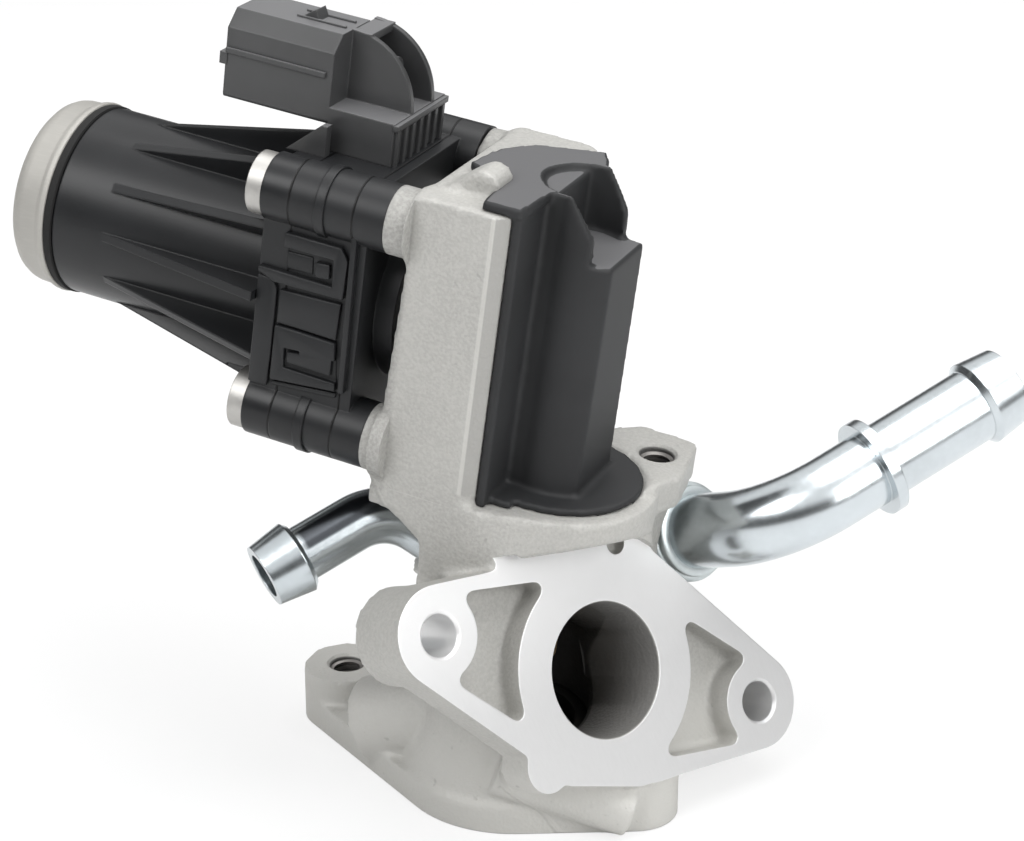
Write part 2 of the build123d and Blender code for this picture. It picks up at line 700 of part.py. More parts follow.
# Stem guide and its wiper seal
with BuildPart() as stem_guide:
    disc(level(GUIDE_BOTTOM), GUIDE_RADIUS, GUIDE_TOP - GUIDE_BOTTOM, STEM_RADIUS + RUNNING_FIT)
stem_guide.part.label = "stem_guide"

with BuildPart() as stem_seal:
    disc(level(GUIDE_TOP), GUIDE_RADIUS, SPRING_SEAT - GUIDE_TOP, STEM_RADIUS + RUNNING_FIT)
stem_seal.part.label = "stem_seal"

# Return spring, its lower washer and the retainer on the stem
with BuildPart() as spring_washer:
    disc(level(SPRING_SEAT), SPRING_RADIUS + 2, 1, STEM_RADIUS + BODY_GAP)
spring_washer.part.label = "spring_washer"

spring_bottom = SPRING_SEAT + 1 + SPRING_WIRE_RADIUS
spring_height = RETAINER_HEIGHT - SPRING_WIRE_RADIUS - spring_bottom
with BuildPart() as return_spring:
    with BuildLine() as coil:
        Helix(
            pitch=spring_height / SPRING_TURNS,
            height=spring_height,
            radius=SPRING_RADIUS,
            center=at(0, 0, spring_bottom),
            direction=stem_frame.z_dir,
        )
    with BuildSketch(Plane(origin=coil.line @ 0, z_dir=coil.line % 0)):
        Circle(SPRING_WIRE_RADIUS)
    sweep(path=coil.line, is_frenet=True)
return_spring.part.label = "return_spring"

with BuildPart() as spring_retainer:
    disc(level(RETAINER_HEIGHT), RETAINER_RADIUS, RETAINER_THICKNESS, STEM_RADIUS)
spring_retainer.part.label = "spring_retainer"

# Follower on top of the stem, with the pin that carries the cam roller
with BuildPart() as cam_follower:
    with BuildSketch(level(stem_top)):
        with Locations(((CAM_FACE + BODY_GAP + STEM_RADIUS + 1) / 2, 0)):
            Rectangle(STEM_RADIUS + 1 - CAM_FACE - BODY_GAP, 2 * FOLLOWER_HALF_WIDTH)
        fillet(vertices().group_by(Axis.X)[-1], radius=3)
    extrude(amount=2 * FOLLOWER_HALF_WIDTH)
    rod(
        at(CAM_FACE - CAM_THICKNESS, 0, follower_height),
        at(CAM_FACE + BODY_GAP, 0, follower_height),
        ROLLER_PIN_RADIUS,
    )
cam_follower.part.label = "cam_follower"

with BuildPart() as cam_roller:
    disc(
        Plane(origin=at(CAM_FACE - CAM_THICKNESS, 0, follower_height), z_dir=stem_frame.x_dir),
        ROLLER_RADIUS,
        CAM_THICKNESS,
        ROLLER_PIN_RADIUS + RUNNING_FIT,
    )
cam_roller.part.label = "cam_roller"

# Cam: its spiral slot turns the output shaft's turn into an even lift of the stem
slot_half_width = ROLLER_RADIUS + SLOT_GAP


def slot_side(side):
    """Points along the cam's spiral, moved to one side of it."""
    points = []
    for turn in range(-CAM_SLOT_OVERRUN, CAM_TURN + CAM_SLOT_OVERRUN + 1, CAM_SLOT_STEP):
        radius = CAM_START_RADIUS + VALVE_LIFT * turn / CAM_TURN
        slope = degrees(atan(VALVE_LIFT / radians(CAM_TURN) / radius))
        point = Vector(radius, 0) + Vector(side, 0).rotate(Axis.Z, slope)
        points.append(point.rotate(Axis.Z, -90 - turn))
    return points


with BuildPart() as output_cam:
    with BuildSketch(drive(CAM_FACE - CAM_THICKNESS)):
        Circle(CAM_RADIUS)
        Circle(OUTPUT_SHAFT_RADIUS - 1, mode=Mode.SUBTRACT)
        with BuildLine():
            outer = Spline(*slot_side(slot_half_width))
            inner = Spline(*slot_side(-slot_half_width))
            Line(outer @ 0, inner @ 0)
            Line(outer @ 1, inner @ 1)
        make_face(mode=Mode.SUBTRACT)
        with Locations(slot_side(0)[0], slot_side(0)[-1]):
            Circle(slot_half_width, mode=Mode.SUBTRACT)
    extrude(amount=CAM_THICKNESS)
output_cam.part.label = "output_cam"

# Output shaft and gear
with BuildPart() as output_shaft:
    disc(drive(SECOND_GEARS), OUTPUT_SHAFT_RADIUS, CAM_FACE - CAM_THICKNESS - SECOND_GEARS)
    disc(drive(CAM_FACE - CAM_THICKNESS), OUTPUT_SHAFT_RADIUS - 1, CAM_THICKNESS)
output_shaft.part.label = "output_shaft"

with BuildPart() as output_gear:
    gear(drive(SECOND_GEARS), WHEEL_TEETH, -90 + 180 / WHEEL_TEETH, OUTPUT_SHAFT_RADIUS)
output_gear.part.label = "output_gear"

with BuildPart() as output_bush:
    disc(
        drive(GEARBOX_END),
        BUSH_RADIUS,
        CAM_CHAMBER_FLOOR - GEARBOX_END,
        OUTPUT_SHAFT_RADIUS + RUNNING_FIT,
    )
output_bush.part.label = "output_bush"

with BuildPart() as shaft_seal:
    disc(
        drive(GEARBOX_END_SPLIT),
        BUSH_RADIUS,
        GEARBOX_END - GEARBOX_END_SPLIT,
        OUTPUT_SHAFT_RADIUS + RUNNING_FIT,
    )
shaft_seal.part.label = "shaft_seal"

# Idler: its wheel meets the motor pinion, its own pinion meets the output gear
centre_distance = GEAR_MODULE * (PINION_TEETH + WHEEL_TEETH) / 2


def idler(u):
    """Plane of the idler's axis, square to it."""
    axis = at(u, 0, MOTOR_HEIGHT - centre_distance)
    return Plane(origin=axis, x_dir=(0, 1, 0), z_dir=stem_frame.x_dir)


with BuildPart() as idler_gear:
    gear(idler(FIRST_GEARS), WHEEL_TEETH, 90 + 180 / WHEEL_TEETH, IDLER_PIN_RADIUS + RUNNING_FIT)
    gear(
        idler(FIRST_GEARS + GEAR_WIDTH),
        PINION_TEETH,
        90,
        IDLER_PIN_RADIUS + RUNNING_FIT,
        SECOND_GEARS - FIRST_GEARS,
    )
idler_gear.part.label = "idler_gear"

with BuildPart() as idler_pin:
    disc(idler(GEARBOX_SPLIT - 3), IDLER_PIN_RADIUS, GEARBOX_END_SPLIT - GEARBOX_SPLIT + 4)
idler_pin.part.label = "idler_pin"

# Motor: pinion, shaft, armature, commutator, brushes, magnets and can
rear_bearing_start = MOTOR_END - CAP_LENGTH + CAP_SHEET
front_bearing_start = MOTOR_WALL_INNER
with BuildPart() as motor_pinion:
    gear(drive(FIRST_GEARS), PINION_TEETH, -90, MOTOR_SHAFT_RADIUS)
motor_pinion.part.label = "motor_pinion"

with BuildPart() as motor_shaft:
    disc(
        drive(rear_bearing_start + 0.5),
        MOTOR_SHAFT_RADIUS,
        FIRST_GEARS + GEAR_WIDTH - rear_bearing_start - 0.5,
    )
motor_shaft.part.label = "motor_shaft"

armature_start = MOTOR_WALL_INNER - 8 - ARMATURE_LENGTH
with BuildPart() as armature:
    with BuildSketch(drive(armature_start)):
        Circle(ARMATURE_RADIUS)
        with PolarLocations(ARMATURE_RADIUS - 2, ARMATURE_SLOTS):
            Rectangle(5, 1.6, mode=Mode.SUBTRACT)
        Circle(MOTOR_SHAFT_RADIUS, mode=Mode.SUBTRACT)
    extrude(amount=ARMATURE_LENGTH)
armature.part.label = "armature"

with BuildPart() as armature_windings:
    disc(drive(armature_start - 4), WINDING_RADIUS, 4, MOTOR_SHAFT_RADIUS)
    disc(drive(armature_start + ARMATURE_LENGTH), WINDING_RADIUS, 4, MOTOR_SHAFT_RADIUS)
    chamfer(edges().filter_by(GeomType.CIRCLE).group_by(SortBy.RADIUS)[-1], length=1.2)
armature_windings.part.label = "armature_windings"

with BuildPart() as commutator:
    disc(
        drive(armature_start - 4 - COMMUTATOR_LENGTH),
        COMMUTATOR_RADIUS,
        COMMUTATOR_LENGTH,
        MOTOR_SHAFT_RADIUS,
    )
commutator.part.label = "commutator"

with BuildPart() as brushes:
    with BuildSketch(drive(armature_start - 4 - COMMUTATOR_LENGTH + 2)):
        with PolarLocations(COMMUTATOR_RADIUS + 4.3, 2):
            Rectangle(8, 4)
    extrude(amount=COMMUTATOR_LENGTH - 4)
brushes.part.label = "brushes"

with BuildPart() as brush_holder:
    with BuildSketch(drive(armature_start - 4 - COMMUTATOR_LENGTH - 2)):
        Circle(CAN_INNER_RADIUS)
        Circle(COMMUTATOR_RADIUS + 1, mode=Mode.SUBTRACT)
    extrude(amount=4)
    with BuildSketch(drive(armature_start - 4 - COMMUTATOR_LENGTH + 2)):
        with PolarLocations(COMMUTATOR_RADIUS + 5, 2):
            Rectangle(6, 7)
            Rectangle(8, 4, mode=Mode.SUBTRACT)
    extrude(amount=COMMUTATOR_LENGTH - 4)
brush_holder.part.label = "brush_holder"

with BuildPart() as motor_magnets:
    with BuildSketch(drive(armature_start - 2)):
        Circle(CAN_INNER_RADIUS)
        Circle(MAGNET_INNER_RADIUS, mode=Mode.SUBTRACT)
        with PolarLocations(MAGNET_INNER_RADIUS + 2, 2, start_angle=90):
            Rectangle(9, 2 * CAN_INNER_RADIUS * cos(radians(MAGNET_ARC / 2)), mode=Mode.SUBTRACT)
    extrude(amount=MAGNET_LENGTH)
motor_magnets.part.label = "motor_magnets"

with BuildPart() as motor_can:
    disc(
        drive(MOTOR_END + CAP_SEAT_LENGTH),
        MOTOR_BORE_RADIUS,
        MOTOR_WALL_INNER - MOTOR_END - CAP_SEAT_LENGTH,
        CAN_INNER_RADIUS,
    )
motor_can.part.label = "motor_can"

with BuildPart() as motor_bearings:
    disc(
        drive(rear_bearing_start),
        BEARING_RADIUS,
        BEARING_LENGTH,
        MOTOR_SHAFT_RADIUS + RUNNING_FIT,
    )
    disc(
        drive(front_bearing_start),
        BEARING_RADIUS,
        BEARING_LENGTH,
        MOTOR_SHAFT_RADIUS + RUNNING_FIT,
    )
motor_bearings.part.label = "motor_bearings"

# Motor cap: pressed steel cup over the housing's open end
with BuildPart() as motor_cap:
    with BuildSketch(front(0)):
        with BuildLine():
            Polyline(
                (MOTOR_END - CAP_LENGTH, MOTOR_HEIGHT),
                (MOTOR_END - CAP_LENGTH, MOTOR_HEIGHT + CAP_RADIUS - CAP_SHEET - 1.5),
                (MOTOR_END - CAP_LENGTH + 1.5, MOTOR_HEIGHT + CAP_RADIUS - CAP_SHEET),
                (MOTOR_END - CAP_LIP, MOTOR_HEIGHT + CAP_RADIUS - CAP_SHEET + 0.5),
                (MOTOR_END - CAP_LIP, MOTOR_HEIGHT + CAP_RADIUS),
                (MOTOR_END, MOTOR_HEIGHT + CAP_RADIUS),
                (MOTOR_END, MOTOR_HEIGHT + MOTOR_OUTER_RADIUS - 1),
                (MOTOR_END - CAP_LENGTH + CAP_SHEET + 1, MOTOR_HEIGHT + MOTOR_OUTER_RADIUS - 1),
                (MOTOR_END - CAP_LENGTH + CAP_SHEET, MOTOR_HEIGHT + MOTOR_OUTER_RADIUS - 2),
                (MOTOR_END - CAP_LENGTH + CAP_SHEET, MOTOR_HEIGHT + BEARING_RADIUS + 1),
                (rear_bearing_start + BEARING_LENGTH, MOTOR_HEIGHT + BEARING_RADIUS + 1),
                (rear_bearing_start + BEARING_LENGTH, MOTOR_HEIGHT + BEARING_RADIUS),
                (rear_bearing_start, MOTOR_HEIGHT + BEARING_RADIUS),
                (rear_bearing_start, MOTOR_HEIGHT),
                close=True,
            )
        make_face()
    revolve(axis=Axis(at(0, 0, MOTOR_HEIGHT), stem_frame.x_dir))
    disc(drive(MOTOR_END - CAP_LENGTH - 1), BEARING_RADIUS + 0.6, 1.2)
motor_cap.part.label = "motor_cap"

# Motor housing: moulded tube with tapered ribs, closed by the first plate of the drive
with BuildPart() as motor_rib:
    with BuildSketch(Plane.XZ):
        with BuildLine():
            Polyline(
                (MOTOR_OUTER_RADIUS - 1, RIB_START - GEARBOX_FACE),
                (MOTOR_OUTER_RADIUS + RIB_HEIGHT, 0),
                (MOTOR_OUTER_RADIUS - 1, 0),
                close=True,
            )
        make_face()
    extrude(amount=RIB_THICKNESS / 2, both=True)
with BuildPart(drive(GEARBOX_FACE)) as motor_housing:
    disc(drive(MOTOR_END), MOTOR_OUTER_RADIUS - 0.6, 2)
    disc(drive(MOTOR_END + 2), MOTOR_OUTER_RADIUS, GEARBOX_FACE - MOTOR_END - 2)
    with PolarLocations(0, RIB_COUNT, start_angle=RIB_FIRST_ANGLE):
        add(motor_rib.part)
    with BuildSketch(drive(GEARBOX_FACE)):
        housing_outline()
    extrude(amount=GEARBOX_SPLIT - GEARBOX_FACE)
    with BuildSketch(drive(MOTOR_END)):
        Circle(MOTOR_BORE_RADIUS)
    extrude(amount=MOTOR_WALL_INNER - MOTOR_END, mode=Mode.SUBTRACT)
    with BuildSketch(drive(MOTOR_WALL_INNER)):
        Circle(BEARING_RADIUS)
    extrude(amount=BEARING_LENGTH, mode=Mode.SUBTRACT)
    with BuildSketch(drive(MOTOR_WALL_INNER)):
        Circle(MOTOR_SHAFT_RADIUS + BODY_GAP)
    extrude(amount=GEARBOX_SPLIT - MOTOR_WALL_INNER, mode=Mode.SUBTRACT)
    with BuildSketch(idler(GEARBOX_SPLIT - 3)):
        Circle(IDLER_PIN_RADIUS)
    extrude(amount=3, mode=Mode.SUBTRACT)
    sleeve_holes(drive(GEARBOX_FACE), GEARBOX_SPLIT - GEARBOX_FACE)
    with BuildSketch(drive(GEARBOX_FACE)):
        with screw_places():
            Circle(SCREW_HEAD_RADIUS + BODY_GAP)
    extrude(amount=-3 * SCREW_HEAD_HEIGHT, mode=Mode.SUBTRACT)
motor_housing.part.label = "motor_housing"

# Gear housing: open ring with snap windows in its front wall
with BuildPart() as gear_housing:
    with BuildSketch(drive(GEARBOX_SPLIT)):
        housing_outline()
    extrude(amount=GEARBOX_END_SPLIT - GEARBOX_SPLIT)
    with BuildSketch(drive(GEARBOX_SPLIT)):
        gear_space()
    extrude(amount=GEARBOX_END_SPLIT - GEARBOX_SPLIT, mode=Mode.SUBTRACT)
    sleeve_holes(drive(GEARBOX_SPLIT), GEARBOX_END_SPLIT - GEARBOX_SPLIT)
gear_housing.part.label = "gear_housing"

# End plate: closes the gears and carries the idler pin and the shaft seal
with BuildPart() as gear_end_plate:
    with BuildSketch(drive(GEARBOX_END_SPLIT)):
        housing_outline()
    extrude(amount=END_PLATE)
    with BuildSketch(drive(GEARBOX_END_SPLIT)):
        with screw_places():
            Circle(SCREW_BOSS_RADIUS)
        Circle(END_DRUM_RADIUS)
    extrude(amount=GEARBOX_END - GEARBOX_END_SPLIT)
    with BuildSketch(drive(GEARBOX_END_SPLIT)):
        Circle(BUSH_RADIUS)
    extrude(amount=GEARBOX_END - GEARBOX_END_SPLIT, mode=Mode.SUBTRACT)
    with BuildSketch(idler(GEARBOX_END_SPLIT)):
        Circle(IDLER_PIN_RADIUS)
    extrude(amount=1, mode=Mode.SUBTRACT)
    sleeve_holes(drive(GEARBOX_END_SPLIT), GEARBOX_END - GEARBOX_END_SPLIT)
gear_end_plate.part.label = "gear_end_plate"

# Screws and sleeves that clamp the three housings to the casting
with BuildPart() as screw_sleeves:
    with BuildSketch(drive(GEARBOX_FACE)):
        with screw_places():
            Circle(SLEEVE_RADIUS)
            Circle(SLEEVE_BORE_RADIUS, mode=Mode.SUBTRACT)
    extrude(amount=GEARBOX_END - GEARBOX_FACE)
screw_sleeves.part.label = "screw_sleeves"

with BuildPart() as drive_screws:
    with BuildSketch(drive(GEARBOX_FACE)):
        with screw_places():
            Circle(SCREW_RADIUS)
    extrude(amount=GEARBOX_END + SCREW_REACH - GEARBOX_FACE)
    with BuildSketch(drive(GEARBOX_FACE - SCREW_HEAD_HEIGHT)):
        with screw_places():
            Circle(SCREW_HEAD_RADIUS)
    extrude(amount=SCREW_HEAD_HEIGHT)
    with BuildSketch(drive(GEARBOX_FACE - SCREW_HEAD_HEIGHT)):
        with screw_places():
            RegularPolygon(SCREW_SOCKET_RADIUS, 6)
    extrude(amount=SCREW_HEAD_HEIGHT - 1, mode=Mode.SUBTRACT)
drive_screws.part.label = "drive_screws"

# Stem cover: plate over the cam chamber with a round dome over the stem
with BuildPart() as stem_cover:
    with BuildSketch(level(COVER_BOTTOM)):
        cover_foot()
    extrude(amount=COVER_DISC_THICKNESS)
    with BuildSketch(level(COVER_BOTTOM)):
        with Locations((COLUMN_RIGHT + COVER_PLATE / 2, 0)):
            Rectangle(COVER_PLATE, 2 * COVER_PLATE_HALF_WIDTH)
    extrude(amount=COLUMN_TOP - COVER_BOTTOM)
    for height, radius in ((COVER_BOTTOM, COVER_RADIUS_BOTTOM), (COVER_TOP, COVER_RADIUS_TOP)):
        with BuildSketch(level(height)):
            Circle(radius)
            with Locations((COVER_FLAT / 2, COVER_BACK / 2)):
                Rectangle(COVER_FLAT, COVER_BACK)
            with Locations((COLUMN_RIGHT / 2, 0)):
                Rectangle(-COLUMN_RIGHT, 2 * radius - 1)
            with Locations((COVER_FLAT + 10, 0)):
                Rectangle(20, 4 * radius, mode=Mode.SUBTRACT)
            with Locations((COLUMN_RIGHT - 10, 0)):
                Rectangle(20, 4 * radius, mode=Mode.SUBTRACT)
    loft()
    with BuildSketch(level(COLUMN_TOP)):
        with BuildLine():
            Polyline(*COVER_TOP_OUTLINE, close=True)
        make_face()
    extrude(amount=COVER_TOP - COLUMN_TOP)
    # Sloping cut and hollow at the top
    with BuildSketch(front(0)):
        with BuildLine():
            Polyline(
                (COVER_SLOPE_START, COVER_TOP + 1),
                COVER_SLOPE_END,
                (COVER_SLOPE_END[0], COVER_LEDGE),
                (COVER_FLAT + 1, COVER_LEDGE),
                (COVER_FLAT + 1, COVER_TOP + 1),
                close=True,
            )
        make_face()
    extrude(amount=2 * COVER_BACK, both=True, mode=Mode.SUBTRACT)
    with BuildSketch(level(COVER_LEDGE)):
        with Locations((COVER_NOTCH_MIDDLE, 0)):
            Circle(COVER_NOTCH_RADIUS)
        with Locations((COVER_FLAT - 1 + 10, 0), (COVER_NOTCH_WALL - 10, 0)):
            Rectangle(20, 4 * COVER_NOTCH_RADIUS, mode=Mode.SUBTRACT)
    extrude(amount=COVER_TOP - COVER_LEDGE + 1, mode=Mode.SUBTRACT)
    with BuildSketch(level(COLUMN_TOP + COVER_SKIN)):
        with Locations((COVER_NOTCH_MIDDLE, 0)):
            Circle(COVER_NOTCH_RADIUS)
    extrude(amount=COVER_TOP - COLUMN_TOP - COVER_SKIN, mode=Mode.SUBTRACT)
    # Room inside for the stem, spring and follower, open to the cam chamber
    with BuildSketch(level(COVER_BOTTOM)):
        Circle(COVER_RADIUS_TOP - COVER_WALL)
        with Locations((COLUMN_RIGHT / 2, 0)):
            Rectangle(-COLUMN_RIGHT, 2 * (COVER_RADIUS_TOP - COVER_WALL))
        with Locations((COVER_FLAT - COVER_WALL + 10, 0)):
            Rectangle(20, 4 * COVER_RADIUS_TOP, mode=Mode.SUBTRACT)
    extrude(amount=COVER_CEILING - COVER_BOTTOM, mode=Mode.SUBTRACT)
stem_cover.part.label = "stem_cover"

# Connector: base block on the gear housing, plug socket and quarter-round shroud
with BuildPart() as connector_shell:
    base_floor = MOTOR_HEIGHT + GEARBOX_HALF_HEIGHT
    with BuildSketch(front(CONNECTOR_FRONT)):
        with Locations(((CONNECTOR_RIGHT + CONNECTOR_BASE_RIGHT) / 2, 0)):
            with Locations((0, (base_floor + CONNECTOR_BASE_TOP) / 2)):
                Rectangle(CONNECTOR_BASE_RIGHT - CONNECTOR_RIGHT, CONNECTOR_BASE_TOP - base_floor)
    extrude(amount=CONNECTOR_FRONT - CONNECTOR_BASE_BACK)
    socket_middle = (CONNECTOR_FRONT + CONNECTOR_BACK) / 2
    socket_height = (CONNECTOR_BOTTOM + CONNECTOR_TOP) / 2
    socket_face = Plane(
        origin=at(CONNECTOR_LEFT, socket_middle, socket_height),
        x_dir=(0, 1, 0),
        z_dir=stem_frame.x_dir,
    )
    with BuildSketch(socket_face):
        Rectangle(CONNECTOR_BACK - CONNECTOR_FRONT, CONNECTOR_TOP - CONNECTOR_BOTTOM)
        chamfer(vertices().group_by(Axis.Y)[-1], length=CONNECTOR_CHAMFER)
        fillet(vertices().group_by(Axis.Y)[0], radius=1)
    extrude(amount=CONNECTOR_RIGHT - CONNECTOR_LEFT)
    with BuildSketch(socket_face):
        Rectangle(
            CONNECTOR_BACK - CONNECTOR_FRONT - 2 * CONNECTOR_WALL,
            CONNECTOR_TOP - CONNECTOR_BOTTOM - 2 * CONNECTOR_WALL,
        )
        chamfer(vertices().group_by(Axis.Y)[-1], length=CONNECTOR_CHAMFER - 1)
    extrude(amount=CONNECTOR_DEPTH, mode=Mode.SUBTRACT)
    # Quarter-round shroud: two plates joined by a roof strip, with a tongue between them
    shroud_radius = CONNECTOR_TOP - CONNECTOR_BASE_TOP
    for plate_front in (SHROUD_FRONT, CONNECTOR_BACK - SHROUD_SHEET):
        with BuildSketch(front(plate_front)):
            with Locations((CONNECTOR_RIGHT, CONNECTOR_BASE_TOP)):
                Circle(shroud_radius)
                with Locations((0, -shroud_radius)):
                    Rectangle(4 * shroud_radius, 2 * shroud_radius, mode=Mode.SUBTRACT)
                with Locations((-shroud_radius, 0)):
                    Rectangle(2 * shroud_radius, 4 * shroud_radius, mode=Mode.SUBTRACT)
        extrude(amount=-SHROUD_SHEET)
    with BuildSketch(front(SHROUD_FRONT)):
        with Locations((CONNECTOR_RIGHT + 2, CONNECTOR_TOP - 1)):
            Rectangle(4, 1.6)
    extrude(amount=SHROUD_FRONT - CONNECTOR_BACK)
    tongue = Plane(
        origin=at(CONNECTOR_RIGHT, socket_middle + 3, CONNECTOR_BASE_TOP + 6),
        x_dir=(0, 1, 0),
        z_dir=stem_frame.x_dir,
    )
    with BuildSketch(tongue):
        Circle(TONGUE_RADIUS)
        with Locations((0, -3)):
            Rectangle(TONGUE_RADIUS, 6)
    extrude(amount=8)
    # Latch wedge and its two rails on the roof
    with BuildSketch(front(socket_middle - LATCH_WIDTH / 2)):
        with BuildLine():
            Polyline(
                (CONNECTOR_LEFT + 12, CONNECTOR_TOP),
                (CONNECTOR_LEFT + 15, CONNECTOR_TOP + 2),
                (CONNECTOR_LEFT + 16, CONNECTOR_TOP),
                close=True,
            )
        make_face()
    extrude(amount=-LATCH_WIDTH)
connector_shell.part.label = "connector_shell"

with BuildPart() as connector_terminals:
    pin_face = Plane(
        origin=at(CONNECTOR_LEFT + 5, socket_middle, socket_height),
        x_dir=(0, 1, 0),
        z_dir=stem_frame.x_dir,
    )
    with BuildSketch(pin_face):
        with GridLocations(TERMINAL_PITCH, TERMINAL_PITCH, TERMINAL_COLUMNS, 2):
            Rectangle(TERMINAL_SIZE, TERMINAL_SIZE)
    extrude(amount=CONNECTOR_DEPTH - 5)
connector_terminals.part.label = "connector_terminals"

# Coolant pipes
with BuildPart() as coolant_inlet_pipe:
    pipe(inlet_start, inlet_corner, inlet_mouth, INLET_BEND, INLET_PIPE_RADIUS)
    barb(inlet_corner, inlet_mouth, INLET_BEAD_RADIUS, INLET_MOUTH_RADIUS)
    inlet_bore = INLET_PIPE_RADIUS - PIPE_WALL
    pipe(inlet_start, inlet_corner, inlet_mouth, INLET_BEND, inlet_bore, Mode.SUBTRACT)
coolant_inlet_pipe.part.label = "coolant_inlet_pipe"

with BuildPart() as coolant_outlet_pipe:
    pipe(outlet_start, outlet_corner, outlet_mouth, OUTLET_BEND, OUTLET_PIPE_RADIUS)
    barb(outlet_corner, outlet_mouth, OUTLET_BEAD_RADIUS, OUTLET_MOUTH_RADIUS)
    stop_bead = towards(outlet_mouth, outlet_corner, STOP_BEAD_DISTANCE)
    disc(Plane(origin=stop_bead, z_dir=outlet_mouth - outlet_corner), STOP_BEAD_RADIUS, STOP_BEAD_WIDTH)
    outlet_bore = OUTLET_PIPE_RADIUS - PIPE_WALL
    pipe(outlet_start, outlet_corner, outlet_mouth, OUTLET_BEND, outlet_bore, Mode.SUBTRACT)
coolant_outlet_pipe.part.label = "coolant_outlet_pipe"

with BuildPart() as outlet_collar:
    disc(
        Plane(origin=outlet_root, z_dir=outlet_corner - outlet_root),
        COLLAR_RADIUS,
        COLLAR_LENGTH,
        OUTLET_PIPE_RADIUS,
    )
outlet_collar.part.label = "outlet_collar"

pieces = [
    valve_body,
    valve_seat,
    poppet_valve,
    stem_guide,
    stem_seal,
    spring_washer,
    return_spring,
    spring_retainer,
    cam_follower,
    cam_roller,
    output_cam,
    output_shaft,
    output_gear,
    output_bush,
    shaft_seal,
    idler_gear,
    idler_pin,
    motor_pinion,
    motor_shaft,
    armature,
    armature_windings,
    commutator,
    brushes,
    brush_holder,
    motor_magnets,
    motor_can,
    motor_bearings,
    motor_cap,
    motor_housing,
    gear_housing,
    gear_end_plate,
    screw_sleeves,
    drive_screws,
    stem_cover,
    connector_shell,
    connector_terminals,
    coolant_inlet_pipe,
    coolant_outlet_pipe,
    outlet_collar,
]
os.makedirs("parts", exist_ok=True)
for piece in pieces:
    export_step(piece.part, f"parts/{piece.part.label}.step")
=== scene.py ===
"""Looks of an exhaust gas recirculation valve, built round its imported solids.

Lengths in the properties are in metres. Points named u, v, w are millimetres in the frame of the
stem, which leans towards +X: u runs along the motor, v to the back and w up the stem.
"""
import math

import bmesh
import bpy
from bpy.props import FloatProperty, FloatVectorProperty, IntProperty, PointerProperty
from mathutils import Matrix, Vector


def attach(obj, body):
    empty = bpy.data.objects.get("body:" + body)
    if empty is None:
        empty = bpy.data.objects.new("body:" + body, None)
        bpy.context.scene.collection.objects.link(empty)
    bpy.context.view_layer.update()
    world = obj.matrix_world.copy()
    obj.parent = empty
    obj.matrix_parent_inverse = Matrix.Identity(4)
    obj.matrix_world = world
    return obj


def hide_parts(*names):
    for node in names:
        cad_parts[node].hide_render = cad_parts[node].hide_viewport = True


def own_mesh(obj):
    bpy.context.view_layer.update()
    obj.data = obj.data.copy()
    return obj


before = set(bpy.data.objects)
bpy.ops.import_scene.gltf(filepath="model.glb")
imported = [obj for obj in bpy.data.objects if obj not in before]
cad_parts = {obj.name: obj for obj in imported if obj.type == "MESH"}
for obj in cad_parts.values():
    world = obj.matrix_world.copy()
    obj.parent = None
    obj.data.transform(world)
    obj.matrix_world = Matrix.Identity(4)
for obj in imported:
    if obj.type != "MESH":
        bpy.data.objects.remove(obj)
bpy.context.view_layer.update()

bl_info = {
    "name": "Exhaust Gas Valve",
    "version": (1, 0, 0),
    "blender": (4, 5, 0),
    "location": "View3D > Sidebar > Gas Valve",
    "description": "Dresses the packed solids of an exhaust gas recirculation valve",
    "category": "Object",
}

# Frames of the object, as in the solids
LEAN = math.radians(7.6)
ALONG_MOTOR = Vector((math.cos(LEAN), 0.0, -math.sin(LEAN)))
TO_BACK = Vector((0.0, 1.0, 0.0))
UP_STEM = Vector((math.sin(LEAN), 0.0, math.cos(LEAN)))
STEM = Matrix((ALONG_MOTOR, TO_BACK, UP_STEM)).transposed().to_4x4()
MOTOR_HEIGHT = 101.4
FLANGE_NORMAL = Vector((0.829, -0.4114, 0.3795)).normalized()
FLANGE_CENTRE = Vector((24.5, -10.2, 34.9)) / 1000
FLANGE_LEVEL = Vector((0, 0, 1)).cross(FLANGE_NORMAL).normalized()
FLANGE_ALONG = Matrix.Rotation(math.radians(-27), 3, FLANGE_NORMAL) @ FLANGE_LEVEL
FLANGE_ACROSS = FLANGE_NORMAL.cross(FLANGE_ALONG)
FLANGE_PLANE = Matrix.Translation(FLANGE_CENTRE) @ (
    Matrix((FLANGE_ALONG, FLANGE_ACROSS, FLANGE_NORMAL)).transposed().to_4x4()
)
FLANGE_HOLES = tuple(FLANGE_CENTRE + side * 0.0411 * FLANGE_ALONG for side in (-1, 1))
WORLD_UP = Vector((0, 0, 1))
BASE_HOLES = (Vector((-0.044, 0.0105, 0)), Vector((0.028, -0.003, 0)), Vector((0.008, 0.033, 0)))
LUG_HOLE = (14.0, 19.5)
PARTING_DEPTH = 0.0155

# Drive: heights w of the front screws, their row in v, and u of the housings' split lines
UPPER_SCREW, LOWER_SCREW = 124.2, 78.6
SCREW_ROW = -20.5
GEARBOX_FRONT = -24.5
SPLITS = (-51.4, -38.0)
SCREW_COLLAR_PROFILE = ((6.6, 0), (7.12, 0), (7.12, 2), (6.6, 2), (6.6, 0))

